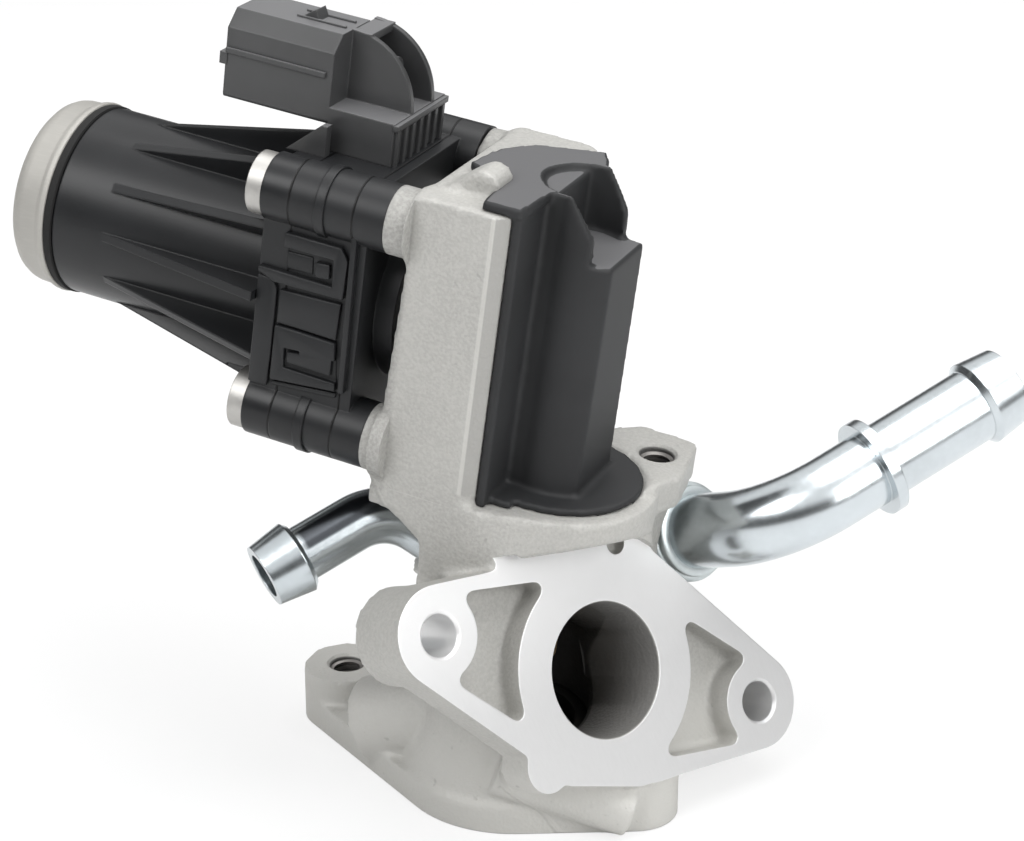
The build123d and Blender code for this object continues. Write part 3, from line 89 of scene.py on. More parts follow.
# Panels on the gearbox's front: outline in (u, w), height, and outline of a slot
PANELS = {
    "left_panel": (
        [(-57.2, 107.6), (-57.4, 84.8), (-53.3, 84.8), (-53.0, 92), (-53.0, 105.4), (-54, 107.4)],
        1.0, None,
    ),
    "upper_clip": (
        [(-57.2, 109.4), (-57.2, 108.3), (-53.6, 106.9), (-38.9, 107.2), (-38.6, 115.2),
         (-40.4, 117.6), (-52.2, 117.6), (-52.2, 114.6), (-41.6, 114.8), (-41.4, 109.2),
         (-52.4, 109.4)],
        1.2, None,
    ),
    "clip_knob": ([(-45.4, 113.2), (-42.4, 113.4), (-42.2, 110.4), (-45.2, 110.2)], 1.0, None),
    "clip_window": ([(-51.8, 113.6), (-46.2, 113.8), (-46.0, 110.2), (-51.6, 110.0)], 0.3, None),
    "middle_panel": (
        [(-52.4, 105.6), (-39.3, 106.1), (-39.6, 98.4), (-48.2, 98.6), (-52.4, 98.6)], 0.9, None,
    ),
    "lower_clip": (
        [(-52.5, 98.2), (-48.4, 98.2), (-39.6, 97.9), (-39.3, 94.4), (-38.6, 88.0), (-52.6, 86.6)],
        1.3,
        [(-50.2, 94.0), (-46.8, 94.2), (-46.8, 93.6), (-49.4, 93.3), (-49.3, 91.2), (-39.9, 91.0),
         (-39.9, 94.2), (-39.2, 94.2), (-38.4, 89.6), (-50.0, 89.8)],
    ),
    "lower_band": ([(-52.6, 86.1), (-38.6, 87.4), (-38.6, 86.3), (-52.6, 85.2)], 0.6, None),
    "side_rail": ([(-38.3, 122), (-37.2, 122), (-36.7, 88), (-37.9, 88)], 1.5, None),
}

# Ribs of the plug socket: count, step and size in metres, and place of the first
RIB_ROWS = {
    "base_ribs": (7, (0.0, 0.0034, 0.0), (0.0010, 0.0011, 0.0078), (-39.3, -7.4, 132.2)),
    "base_rail": (1, (0.0, 0.0, 0.0), (0.0013, 0.0232, 0.0012), (-39.3, 3.0, 136.8)),
    "shell_rail": (1, (0.0, 0.0, 0.0), (0.0215, 0.0008, 0.0011), (-65.6, -8.6, 143.8)),
    "shell_tab": (1, (0.0, 0.0, 0.0), (0.0016, 0.0030, 0.0024), (-76.9, -7.2, 142.0)),
    "roof_rails": (2, (0.0, 0.0042, 0.0), (0.0105, 0.0006, 0.0006), (-60.0, -1.6, 151.6)),
}
PLUG_WEB = ((-60.0, 128.8), (-52.9, 135.2), (-51.6, 135.2), (-51.6, 128.8))

# Cast forms of the column: outlines in (u, w)
FLARE = ((-26.0, 126.0), (-27.0, 126.0), (-30.0, 66.0), (-26.0, 66.0))
HUMP = (
    (-24.5, 129.0), (-24.3, 131.6), (-20.0, 135.2), (-17.7, 136.6), (-15.1, 136.0),
    (-13.9, 134.6), (-14.6, 129.0),
)

# Screw bosses of the column: height w of each and u of its foot
SCREW_BOSSES = ((UPPER_SCREW, -27.3), (LOWER_SCREW, -29.7))
BOSS_RADIUS = 6.75
BOSS_FACE = -31.5

# Milling: the flange's face in its own plane, then in (u, v) the metal that is added to the
# column's edge, the two cuts that leave its bevel and its flat front, and the base's underside
MILLED_OUTLINE = (
    (-53, -8), (-50, 10), (-20, 21), (-5, 26.4), (4, 27.2), (14, 24.4), (50, 10), (53, -8),
    (44, -12), (16, -23), (-8, -29), (-18, -25), (-20, -20), (-44, -12),
)
EDGE_STOCK = ((-13.5, -24.3), (-11.1, -25.2), (-7.8, -21.9), (-8.6, -19.5), (-12, -20))
EDGE_CUT = (
    (-14.5, -24.45), (-10.85, -24.45), (-8.5, -22.1), (-8.5, -18.5), (-6, -18.5), (-6, -28.5),
    (-14.5, -28.5),
)
FRONT_CUT = ((-27, -24.45), (-14, -24.45), (-14, -28.5), (-27, -28.5))
BASE_CUT = ((-80, -60), (60, -60), (60, 60), (-80, 60))
BEVEL_MIDDLE, BEVEL_EDGE = (-9.7, -23.3), (-10.9, -24.5)

# Drills in metres: radius, low end, neck, radius of the mouth and high end
GAS_DRILL = (0.0135, -0.0240, -0.0004, 0.0145, 0.0010)
BOLT_DRILL = (0.0042, -0.0200, -0.0005, 0.0055, 0.0008)
BASE_DRILL = (0.0035, -0.0010, 0.0112, 0.0052, 0.0129)
LUG_DRILL = (0.0035, 0.0600, 0.0716, 0.0052, 0.0733)
TAPPED_RIM = (0.0039, 0.0036)
PLUG_REACH = 0.0017

# Pipes, spring and turned parts: places in the stem's frame, profiles in (radius, height)
INLET_MOUTH, INLET_BEND = (-46.1, -33.3, 48.1), (-30.5, -12.9, 60.3)
OUTLET_ROOT, OUTLET_BEND = (20.0, 29.7, 51.4), (41.6, 18.2, 65.0)
SPRING_ENDS = (62.0, 84.0)
MOTOR_CAP_END = -117.5
CAP_PROFILE = (
    (0, -1), (5.2, -1), (5.6, -0.6), (5.6, 0), (15.2, 0), (16.4, 0.15), (17.5, 0.6), (18.4, 1.4),
    (19.0, 2.5), (19.25, 3.6), (19.4, 6.6), (19.55, 7.2), (19.9, 7.6), (20, 8.2), (19.85, 8.75),
    (19.4, 9), (18.4, 9), (18.4, 2.2), (17.4, 1.2), (6, 1.2), (6, 5.2), (5, 5.2), (5, 1.2),
    (0, 1.2),
)
SEAL_PROFILE = ((19.2, 9), (19.7, 9), (19.75, 9.3), (19.7, 10.5), (19.2, 10.7), (19.2, 9))
COLLAR_PROFILE = (
    (7.7, 0), (10.2, 0), (10.5, 0.35), (10.5, 1.1), (10.1, 1.5), (9.2, 1.7), (9.2, 2.1), (9.6, 2.5),
    (9.5, 3.1), (8.9, 3.5), (7.7, 3.5), (7.7, 0),
)

# Colours that are part of a finish, and colours of painted shade and painted highlights
BORE_DARK = (0.17, 0.167, 0.16)
CHAMBER_DARK = (0.13, 0.128, 0.122)
CHAMBER_PAINTED_SHADE = (0.05, 0.049, 0.047)
HOLE_PAINTED_SHADE = (0.10, 0.098, 0.094)
PLASTIC_PAINTED_HIGHLIGHT = (0.17, 0.17, 0.175)
SPLIT_LINE = (0.001, 0.001, 0.001)
PIPE_SHADE = (0.035, 0.038, 0.046)

# Stage
WHITE = (1, 1, 1)
FLOOR_PAINT = (0.9, 0.9, 0.9)
FLOOR_GLOW = 0.72
FLOOR_GAP = 0.0002


def at(u, v, w):
    """Point of the stem's frame, given in millimetres, in metres of the part."""
    return STEM.to_3x3() @ Vector((u, v, w)) / 1000


def upright(v):
    """Matrix of a plane that faces the front: x along the motor, y up the stem."""
    return Matrix.Translation(at(0, v, 0)) @ STEM @ Matrix.Rotation(math.radians(90), 4, "X")


def metres(points):
    """Points given in millimetres, in metres."""
    return [(a / 1000, b / 1000) for a, b in points]


def shade(colour, factor):
    """A colour made darker or lighter."""
    return tuple(min(1, part * factor) for part in colour)


# Sockets as values


class Value:
    """A node's number output that ordinary arithmetic works on."""

    def __init__(self, graph, socket):
        self.graph = graph
        self.socket = socket

    def __add__(self, other):
        return self.graph.maths("ADD", self, other)

    def __radd__(self, other):
        return self.graph.maths("ADD", other, self)

    def __sub__(self, other):
        return self.graph.maths("SUBTRACT", self, other)

    def __rsub__(self, other):
        return self.graph.maths("SUBTRACT", other, self)

    def __mul__(self, other):
        return self.graph.maths("MULTIPLY", self, other)

    def __rmul__(self, other):
        return self.graph.maths("MULTIPLY", other, self)

    def __abs__(self):
        return self.graph.maths("ABSOLUTE", self)

    def at_least(self, other):
        return self.graph.maths("MAXIMUM", self, other)

    def from_to(self, low, high):
        """Smooth step from 0 at low to 1 at high; low may be the larger number."""
        made = self.graph.node(
            "ShaderNodeMapRange",
            {"interpolation_type": "SMOOTHSTEP"},
            {"Value": self, "From Min": low, "From Max": high},
        )
        return Value(self.graph, made.outputs[0])


class Graph:
    """A node tree that is written as code."""

    def __init__(self, tree):
        self.tree = tree
        self.tree.nodes.clear()

    def node(self, kind, settings=None, inputs=None):
        """Any node: its settings first, then the values or links of its sockets."""
        made = self.tree.nodes.new(kind)
        for name, setting in (settings or {}).items():
            setattr(made, name, setting)
        for key, value in (inputs or {}).items():
            if isinstance(value, Value):
                value = value.socket
            if isinstance(value, bpy.types.NodeSocket):
                self.tree.links.new(value, made.inputs[key])
            elif value is not None:
                socket = made.inputs[key]
                socket.default_value = (*value, 1.0) if socket.type == "RGBA" else value
        return made

    def maths(self, operation, *terms):
        """Math node on values, sockets or numbers."""
        made = self.node("ShaderNodeMath", {"operation": operation}, dict(enumerate(terms)))
        return Value(self, made.outputs[0])


class Growth(Graph):
    """A Geometry Nodes tree with named sizes, which ends in one plain mesh."""

    def __init__(self, name, sizes):
        super().__init__(bpy.data.node_groups.new(name, "GeometryNodeTree"))
        self.tree.interface.new_socket(
            "Mesh", in_out="OUTPUT", socket_type="NodeSocketGeometry"
        )
        kinds = {int: "NodeSocketInt", float: "NodeSocketFloat", tuple: "NodeSocketVector"}
        for label, value in sizes.items():
            size = self.tree.interface.new_socket(
                label, in_out="INPUT", socket_type=kinds[type(value)]
            )
            size.default_value = value
        self.sizes = self.node("NodeGroupInput").outputs

    def end(self, geometry, material):
        """Makes the instances real, paints them and closes the tree."""
        real = self.node("GeometryNodeRealizeInstances", None, {"Geometry": geometry})
        painted = self.node(
            "GeometryNodeSetMaterial", None, {"Geometry": real.outputs[0], "Material": material}
        )
        self.node("NodeGroupOutput", None, {"Mesh": painted.outputs[0]})
        return self.tree


class Finish(Graph):
    """One material, built from nodes."""

    def __init__(self, name):
        self.material = bpy.data.materials.new(name)
        self.material.use_nodes = True
        super().__init__(self.material.node_tree)
        self.point = self.node("ShaderNodeTexCoord").outputs["Object"]

    def vectors(self, operation, first, second=None):
        """Outputs of a Vector Math node."""
        inputs = {0: first, 1: second}
        return self.node("ShaderNodeVectorMath", {"operation": operation}, inputs).outputs

    def noise(self, scale, detail, roughness, stretch=None):
        """Soft random pattern from 0 to 1, with its scale in features per metre."""
        place = self.point
        if stretch:
            place = self.vectors("MULTIPLY", place, stretch)[0]
        made = self.node(
            "ShaderNodeTexNoise",
            None,
            {"Vector": place, "Scale": scale, "Detail": detail, "Roughness": roughness},
        )
        return Value(self, made.outputs[0])

    def specks(self, scale):
        """Distance to the nearest of scattered points, with their number per metre."""
        made = self.node("ShaderNodeTexVoronoi", None, {"Vector": self.point, "Scale": scale})
        return Value(self, made.outputs["Distance"])

    def along(self, direction, origin=(0, 0, 0)):
        """Distance along a direction from a point, in metres."""
        offset = self.vectors("SUBTRACT", self.point, origin)[0]
        return Value(self, self.vectors("DOT_PRODUCT", offset, direction)["Value"])

    def off_axis(self, direction, origin=(0, 0, 0)):
        """Distance from an axis through a point, in metres."""
        offset = self.vectors("SUBTRACT", self.point, origin)[0]
        crossed = self.vectors("CROSS_PRODUCT", offset, direction)[0]
        return Value(self, self.vectors("LENGTH", crossed)["Value"])

    def facing(self, direction):
        """How far the surface faces a direction of the part: 1 along it, -1 against it."""
        normal = self.node("ShaderNodeNewGeometry").outputs["Normal"]
        return Value(self, self.vectors("DOT_PRODUCT", normal, direction)["Value"])

    def blend(self, mask, first, second):
        """Mix of two colours: the first where the mask is 0, the second where it is 1."""
        made = self.node("ShaderNodeMix", {"data_type": "RGBA"}, {0: mask, 6: first, 7: second})
        return made.outputs[2]

    def bump(self, height, depth, strength=1.0, normal=None):
        """Normal of a surface raised by a height from 0 to 1, times a depth in metres."""
        inputs = {"Height": height, "Distance": depth, "Strength": strength, "Normal": normal}
        return self.node("ShaderNodeBump", None, inputs).outputs[0]

    def rounded(self, radius):
        """Normal that rounds sharp edges by a radius."""
        return self.node("ShaderNodeBevel", {"samples": 6}, {"Radius": radius}).outputs[0]

    def surface(self, colour, roughness, metallic, normal, gloss=0.5):
        """Ends the material in its shader."""
        inputs = {
            "Base Color": colour, "Roughness": roughness, "Metallic": metallic, "Normal": normal,
            "Specular IOR Level": gloss,
        }
        shader = self.node("ShaderNodeBsdfPrincipled", None, inputs)
        self.node("ShaderNodeOutputMaterial", None, {"Surface": shader.outputs[0]})
        return self.material


# Properties


class CastingLook(bpy.types.PropertyGroup):
    colour: FloatVectorProperty(
        name="Cast colour", description="Colour of the cast skin", default=(0.42, 0.415, 0.395),
        subtype="COLOR", min=0, max=1,
    )
    machined: FloatVectorProperty(
        name="Machined colour", description="Colour of the machined faces",
        default=(0.70, 0.70, 0.70), subtype="COLOR", min=0, max=1,
    )
    grain: FloatProperty(
        name="Grain", description="Height of the sandy grain", default=0.00012, unit="LENGTH",
        min=0, max=0.002, precision=5,
    )
    edge: FloatProperty(
        name="Edge radius", description="Rounding of the cast edges", default=0.0004,
        unit="LENGTH", min=0, max=0.003, precision=5,
    )
    voxel: FloatProperty(
        name="Mesh size", description="Side of the casting's mesh cells", default=0.00075,
        unit="LENGTH", min=0.0005, max=0.003, precision=5,
    )
    smoothing: IntProperty(
        name="Smoothing", description="Passes that soften the cast edges", default=3, min=0, max=30,
    )
    triangles: IntProperty(
        name="Triangles", description="Most triangles in the casting's mesh", default=190000,
        min=20000, max=199000,
    )
    stock: FloatProperty(
        name="Stock", description="Metal milled off the flange and the base", default=0.0018,
        unit="LENGTH", min=0, max=0.004, precision=5,
    )


class PlasticLook(bpy.types.PropertyGroup):
    housing: FloatVectorProperty(
        name="Housing colour", description="Colour of the drive's housings",
        default=(0.011, 0.0115, 0.0125), subtype="COLOR", min=0, max=1,
    )
    plug: FloatVectorProperty(
        name="Plug colour", description="Colour of the plug socket",
        default=(0.037, 0.0375, 0.0385), subtype="COLOR", min=0, max=1,
    )
    cover: FloatVectorProperty(
        name="Cover colour", description="Colour of the stem cover",
        default=(0.017, 0.0175, 0.0185), subtype="COLOR", min=0, max=1,
    )
    edge: FloatProperty(
        name="Edge radius", description="Rounding of moulded edges", default=0.0005,
        unit="LENGTH", min=0, max=0.002, precision=5,
    )
    panel_edge: FloatProperty(
        name="Panel edge", description="Bevel of the gearbox's panels", default=0.00025,
        unit="LENGTH", min=0, max=0.001, precision=5,
    )
    cover_voxel: FloatProperty(
        name="Cover mesh", description="Side of the cover's mesh cells", default=0.00048,
        unit="LENGTH", min=0.0003, max=0.002, precision=5,
    )
    cover_smoothing: IntProperty(
        name="Cover smoothing", description="Passes that soften the cover's edges", default=5,
        min=0, max=30,
    )


class StageLook(bpy.types.PropertyGroup):
    camera_place: FloatVectorProperty(
        name="Camera", description="Place of the camera", default=(0.1963, -0.4588, 0.2936),
        subtype="TRANSLATION", unit="LENGTH",
    )
    camera_turn: FloatVectorProperty(
        name="Camera turn", description="Turn of the camera", subtype="EULER", unit="ROTATION",
        default=(math.radians(66.9), 0, math.radians(23.2)),
    )
    focal_length: FloatProperty(
        name="Focal length", description="Lens of the camera, in millimetres", default=95.94,
        min=10, max=300,
    )
    fill: FloatProperty(
        name="Fill", description="Level of the light from all round", default=0.38, min=0, max=1,
    )
    band: FloatProperty(
        name="Dark band", description="How dark the horizon is in reflections", default=0.92,
        min=0, max=1,
    )
    floor_size: FloatProperty(
        name="Floor", description="Side of the floor", default=6.0, unit="LENGTH", min=1, max=20,
    )


# Finishes


def machined_faces(f, height, face, off_bore):
    """Mask of the flange's face and bolt holes, and of the base's underside."""
    in_plane = abs(face).from_to(0.00012, 0.00006) * off_bore.from_to(0.0600, 0.0590)
    faces_out = f.facing(FLANGE_NORMAL).from_to(0.90, 0.97)
    machined = (in_plane * faces_out).at_least(height.from_to(0.00012, 0.00006))
    for hole in FLANGE_HOLES:
        drilled = f.off_axis(FLANGE_NORMAL, hole).from_to(0.0050, 0.0046)
        machined = machined.at_least(drilled * face.from_to(-0.0165, -0.0160))
    return machined


def cast_skin(f, colour, height, grain, pits):
    """Colour of the skin: blotches, a base paler with painted light, screw bosses darker with
    painted shade, grain and pits.
    """
    blotches = f.noise(38, 4, 0.55)
    skin = f.blend(blotches.from_to(0.3, 0.7), shade(colour, 0.90), colour)
    # Painted light from below: the skin paler towards the base
    skin = f.blend(height.from_to(0.030, 0.010) * 0.65, skin, shade(colour, 1.4))
    # Painted shade: the screw bosses up the column darker
    bosses = f.along(ALONG_MOTOR).from_to(-0.0262, -0.0276)
    bosses = bosses * f.along(UP_STEM).from_to(0.066, 0.070)
    skin = f.blend(bosses * 0.8, skin, shade(colour, 0.70))
    skin = f.blend(grain.from_to(0.35, 0.65) * 0.35, skin, shade(colour, 1.25))
    skin = f.blend(pits * 0.35, skin, shade(colour, 0.62))
    # Painted shade on the bevel down the column, and a painted highlight along its edge, broken up
    # by the blotches
    column = f.along(UP_STEM).from_to(0.073, 0.074)
    bevel = f.facing((ALONG_MOTOR - TO_BACK).normalized()).from_to(0.90, 0.97) * column
    bevel = bevel * f.off_axis(UP_STEM, at(*BEVEL_MIDDLE, 0)).from_to(0.0024, 0.0020)
    skin = f.blend(bevel * 0.8, skin, shade(colour, 0.78))
    painted_highlight = f.off_axis(UP_STEM, at(*BEVEL_EDGE, 0)).from_to(0.0006, 0.0003) * column
    return f.blend(painted_highlight * (0.4 + blotches * 0.6), skin, shade(colour, 1.3))


def darkened_holes(f, colour, height, face, off_bore):
    """Colour darker inside the gas ways, with painted shade deeper down the chamber and in the
    tapped holes.
    """
    in_bore = off_bore.from_to(0.0138, 0.01355)
    in_bore = in_bore * face.from_to(-0.046, -0.042) * face.from_to(0.004, 0.002)
    in_chamber = f.off_axis(UP_STEM).from_to(0.0142, 0.0138) * face.from_to(-0.0090, -0.0110)
    in_chamber = in_chamber * height.from_to(0.0010, 0.0014) * height.from_to(0.050, 0.048)
    tapped = f.off_axis(UP_STEM, at(*LUG_HOLE, 0)).from_to(*TAPPED_RIM)
    tapped = tapped * f.along(UP_STEM).from_to(0.0640, 0.0650)
    for hole in BASE_HOLES:
        base_hole = f.off_axis(WORLD_UP, hole).from_to(*TAPPED_RIM)
        tapped = tapped.at_least(base_hole * height.from_to(0.0135, 0.0130))
    # Darker inside the bore and the chamber
    colour = f.blend(in_bore, colour, BORE_DARK)
    colour = f.blend(in_chamber, colour, CHAMBER_DARK)
    # Painted shade deeper down the chamber
    colour = f.blend(in_chamber * height.from_to(0.038, 0.032), colour, CHAMBER_PAINTED_SHADE)
    # Painted shade in the tapped holes
    return f.blend(tapped, colour, HOLE_PAINTED_SHADE)


def cast_aluminium(look):
    """Sandy cast skin, with bright machined faces on the flange and under the base."""
    f = Finish("cast_aluminium")
    height = f.along(WORLD_UP)
    face = f.along(FLANGE_NORMAL, FLANGE_CENTRE)
    off_bore = f.off_axis(FLANGE_NORMAL, FLANGE_CENTRE)
    machined = machined_faces(f, height, face, off_bore)
    grain = f.noise(1500, 2, 0.6)
    sand = f.specks(1250)
    pits = f.noise(420, 2, 0.5).from_to(0.68, 0.78)
    milling = f.noise(160, 2, 0.5, stretch=(1, 14, 3))
    skin = cast_skin(f, look.colour, height, grain, pits)
    bright = f.blend(milling, shade(look.machined, 0.95), look.machined)
    # Painted light: the machined faces paler higher up
    bright = f.blend(height.from_to(0.030, 0.060), bright, shade(look.machined, 1.25))
    colour = f.blend(machined, skin, bright)
    colour = darkened_holes(f, colour, height, face, off_bore)
    rough_skin = 1 - machined
    roughness = (0.56 + grain * 0.12) * rough_skin + machined * (0.34 + milling * 0.08)
    parting = abs(face + PARTING_DEPTH).from_to(0.0006, 0.0001) * off_bore.from_to(0.020, 0.024)
    relief = (grain * 0.5 + sand * 0.7 - pits * 0.5 + parting * 1.5) * rough_skin
    normal = f.bump(relief, look.grain, 1.0, f.rounded(look.edge))
    return f.surface(colour, roughness, 0.25 + machined * 0.35, normal)


def moulded_plastic(name, colour, roughness, edge, splits=(), gloss=0.34, painted_highlight=0.0):
    """Black glass-filled plastic, darker in its split lines, with a painted highlight on its upper
    faces.
    """
    f = Finish(name)
    fine = f.noise(2600, 2, 0.6)
    cloud = f.noise(55, 3, 0.5)
    tint = f.blend(cloud.from_to(0.35, 0.7), colour, shade(colour, 1.3))
    if painted_highlight:
        # Painted highlight: the upper faces paler
        upper = f.facing(UP_STEM).from_to(0.95, 0.99) * f.along(UP_STEM).from_to(0.099, 0.101)
        tint = f.blend(upper * painted_highlight, tint, PLASTIC_PAINTED_HIGHLIGHT)
    relief = fine * 0.3
    for u in splits:
        line = abs(f.along(ALONG_MOTOR, at(u, 0, MOTOR_HEIGHT))).from_to(0.00028, 0.00014)
        tint = f.blend(line * 0.85, tint, SPLIT_LINE)
        relief = relief - line * 6
    normal = f.bump(relief, 0.00005, 0.5, f.rounded(edge))
    return f.surface(tint, roughness + cloud * 0.1, 0.0, normal, gloss)


def plated_metal(
    name, colour, roughness, streak=(1, 1, 1), metallic=1.0, depth=0.00001, shaded=None
):
    """Metal with fine working marks; shaded is the side, start and direction of a band of painted
    dark reflection.
    """
    f = Finish(name)
    marks = f.noise(700, 3, 0.6, stretch=streak)
    cloud = f.noise(60, 3, 0.5)
    tint = f.blend(cloud.from_to(0.3, 0.7), shade(colour, 0.9), colour)
    tint = f.blend(marks.from_to(0.4, 0.75) * 0.3, tint, shade(colour, 1.15))
    if shaded:
        # Painted dark reflection in a band along the pipe
        side, start, direction = shaded
        band = f.along(direction, start).from_to(0.0085, 0.0100)
        band = f.facing(side).from_to(0.89, 0.94) * band
        tint = f.blend(band * 0.9, tint, PIPE_SHADE)
    normal = f.bump(marks, depth, 0.6, f.rounded(0.0003))
    return f.surface(tint, roughness + marks * 0.08, metallic, normal)


def satin_steel():
    """Drawn steel of the motor's cap."""
    return plated_metal(
        "satin_steel", (0.40, 0.39, 0.365), 0.55, streak=(0.3, 3, 3), metallic=0.35
    )


def banded_zinc():
    """Zinc of the small pipe, with a painted dark reflection in a band along its elbow, past the
    mouth.
    """
    side = Vector((0.225, -0.575, 0.785)).normalized()
    mouth = at(*INLET_MOUTH)
    direction = (at(*INLET_BEND) - mouth).normalized()
    return plated_metal(
        "banded_zinc", (0.56, 0.605, 0.63), 0.19, shaded=(side, mouth, direction)
    )


def plain_finish(name, colour, roughness, metallic=0.0):
    """Small inner parts: an even finish with a fine grain."""
    f = Finish(name)
    fine = f.noise(1200, 2, 0.6)
    tint = f.blend(fine, shade(colour, 0.88), colour)
    return f.surface(tint, roughness + fine * 0.06, metallic, f.bump(fine, 0.00002, 0.5))


# Meshes


def add_piece(name, data):
    """Object at the origin that carries a mesh, a lamp or a camera."""
    piece = bpy.data.objects.new(name, data)
    bpy.context.collection.objects.link(piece)
    return piece


def merged_copy(node, name):
    """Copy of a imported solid, with its loose triangles joined."""
    mesh = bpy.data.meshes.new(name)
    made = bmesh.new()
    made.from_mesh(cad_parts[node].data)
    bmesh.ops.remove_doubles(made, verts=made.verts, dist=0.000002)
    made.to_mesh(mesh)
    made.free()
    return add_piece(name, mesh)


def settle(piece):
    """Turns a piece's modifiers into plain mesh."""
    graph = bpy.context.evaluated_depsgraph_get()
    mesh = bpy.data.meshes.new_from_object(piece.evaluated_get(graph))
    piece.modifiers.clear()
    piece.data = mesh


def soften(piece, cell, passes):
    """Rounds a piece's edges: its skin is made again from small cells and smoothed."""
    remesh = piece.modifiers.new("remesh", "REMESH")
    remesh.mode = "VOXEL"
    remesh.voxel_size = cell
    smooth = piece.modifiers.new("smooth", "SMOOTH")
    smooth.iterations = passes
    settle(piece)


def closed_mesh(name, made, place):
    """Mesh of a closed shape, placed by a matrix, with its faces turned outwards."""
    made.transform(place)
    bmesh.ops.recalc_face_normals(made, faces=made.faces)
    mesh = bpy.data.meshes.new(name)
    made.to_mesh(mesh)
    made.free()
    return mesh


def prism(outline, low, high, place):
    """Solid between two levels over a closed outline of local points, placed by a matrix."""
    made = bmesh.new()
    rings = [[made.verts.new((x, y, z)) for x, y in outline] for z in (low, high)]
    made.faces.new(reversed(rings[0]))
    made.faces.new(rings[1])
    count = len(outline)
    for i in range(count):
        j = (i + 1) % count
        made.faces.new((rings[0][i], rings[0][j], rings[1][j], rings[1][i]))
    return closed_mesh("prism", made, place)


def turned(profile, origin, axis, sides=64):
    """Solid of revolution over (radius, height) points round an axis."""
    made = bmesh.new()
    rings = []
    for radius, height in profile:
        ring = []
        for i in range(sides if radius > 0 else 1):
            angle = 2 * math.pi * i / sides
            x, y = radius * math.cos(angle), radius * math.sin(angle)
            ring.append(made.verts.new((x, y, height)))
        rings.append(ring)
    for first, second in zip(rings, rings[1:]):
        for i in range(sides):
            j = (i + 1) % sides
            if len(first) == 1:
                made.faces.new((first[0], second[j], second[i]))
            elif len(second) == 1:
                made.faces.new((first[i], first[j], second[0]))
            else:
                made.faces.new((first[i], first[j], second[j], second[i]))
    place = Matrix.Translation(origin) @ axis.to_track_quat("Z", "Y").to_matrix().to_4x4()
    return closed_mesh("turned", made, place)


def drill(radius, low, neck, mouth, high):
    """Profile of a straight drill that widens between its neck and its high end."""
    return [(0, low), (radius, low), (radius, neck), (mouth, high), (0, high)]


def rod(start, end, radius):
    """Round bar between two points."""
    length = (end - start).length
    profile = [(0, 0), (radius, 0), (radius, length), (0, length)]
    return turned(profile, start, (end - start).normalized(), 48)


def join(piece, mesh):
    """Adds a mesh to a piece's own."""
    made = bmesh.new()
    made.from_mesh(piece.data)
    made.from_mesh(mesh)
    made.to_mesh(piece.data)
    made.free()


def cut(piece, tool):
    """Takes the space of a tool's mesh out of a piece."""
    cutter = add_piece("cutter", tool)
    carve = piece.modifiers.new("carve", "BOOLEAN")
    carve.operation = "DIFFERENCE"
    carve.solver = "MANIFOLD"
    carve.object = cutter
    settle(piece)
    bpy.data.objects.remove(cutter)


def thread_growth(material):
    """Tree of a thread's ridge, wound up the wall of a hole."""
    g = Growth("thread", {"Radius": 0.0034, "Pitch": 0.00125, "Turns": 5.0, "Ridge": 0.00055})
    height = Value(g, g.sizes["Pitch"]) * Value(g, g.sizes["Turns"])
    wound = g.node(
        "GeometryNodeCurveSpiral",
        None,
        {
            "Resolution": 36, "Rotations": g.sizes["Turns"], "Start Radius": g.sizes["Radius"],
            "End Radius": g.sizes["Radius"], "Height": height,
        },
    )
    ridge = g.node(
        "GeometryNodeCurvePrimitiveCircle", None, {"Resolution": 4, "Radius": g.sizes["Ridge"]}
    )
    swept = g.node(
        "GeometryNodeCurveToMesh",
        None,
        {"Curve": wound.outputs[0], "Profile Curve": ridge.outputs[0], "Fill Caps": True},
    )
    return g.end(swept.outputs[0], material)


def row_growth(name, material):
    """Tree of a row of equal ribs."""
    g = Growth(name, {"Count": 5, "Step": (0.003, 0.0, 0.0), "Rib": (0.001, 0.001, 0.008)})
    line = g.node(
        "GeometryNodeMeshLine", None, {"Count": g.sizes["Count"], "Offset": g.sizes["Step"]}
    )
    rib = g.node("GeometryNodeMeshCube", None, {"Size": g.sizes["Rib"]})
    placed = g.node(
        "GeometryNodeInstanceOnPoints",
        None,
        {"Points": line.outputs[0], "Instance": rib.outputs[0]},
    )
    return g.end(placed.outputs[0], material)


def grown(name, tree, sizes, place):
    """Piece made by a tree with its sizes set, placed by a matrix."""
    piece = add_piece(name, bpy.data.meshes.new(name))
    nodes = piece.modifiers.new("nodes", "NODES")
    nodes.node_group = tree
    for item in tree.interface.items_tree:
        if item.name in sizes:
            nodes[item.identifier] = sizes[item.name]
    settle(piece)
    piece.data.transform(place)
    return piece


def give(piece, material):
    """Sets one material on a whole piece."""
    piece.data.materials.clear()
    piece.data.materials.append(material)


def carry(piece):
    """Puts a finished piece on the standing body."""
    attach(piece, "housing")


def smooth_under(piece, angle):
    """Shades the piece smooth where its faces meet at less than an angle, in degrees."""
    piece.data.shade_smooth()
    piece.data.set_sharp_from_angle(angle=math.radians(angle))


def turned_piece(name, profile, origin, axis, sides, material):
    """Piece of revolution, with its profile in millimetres."""
    piece = add_piece(name, turned(metres(profile), origin, axis, sides))
    smooth_under(piece, 35)
    give(piece, material)
    return piece


# Operators


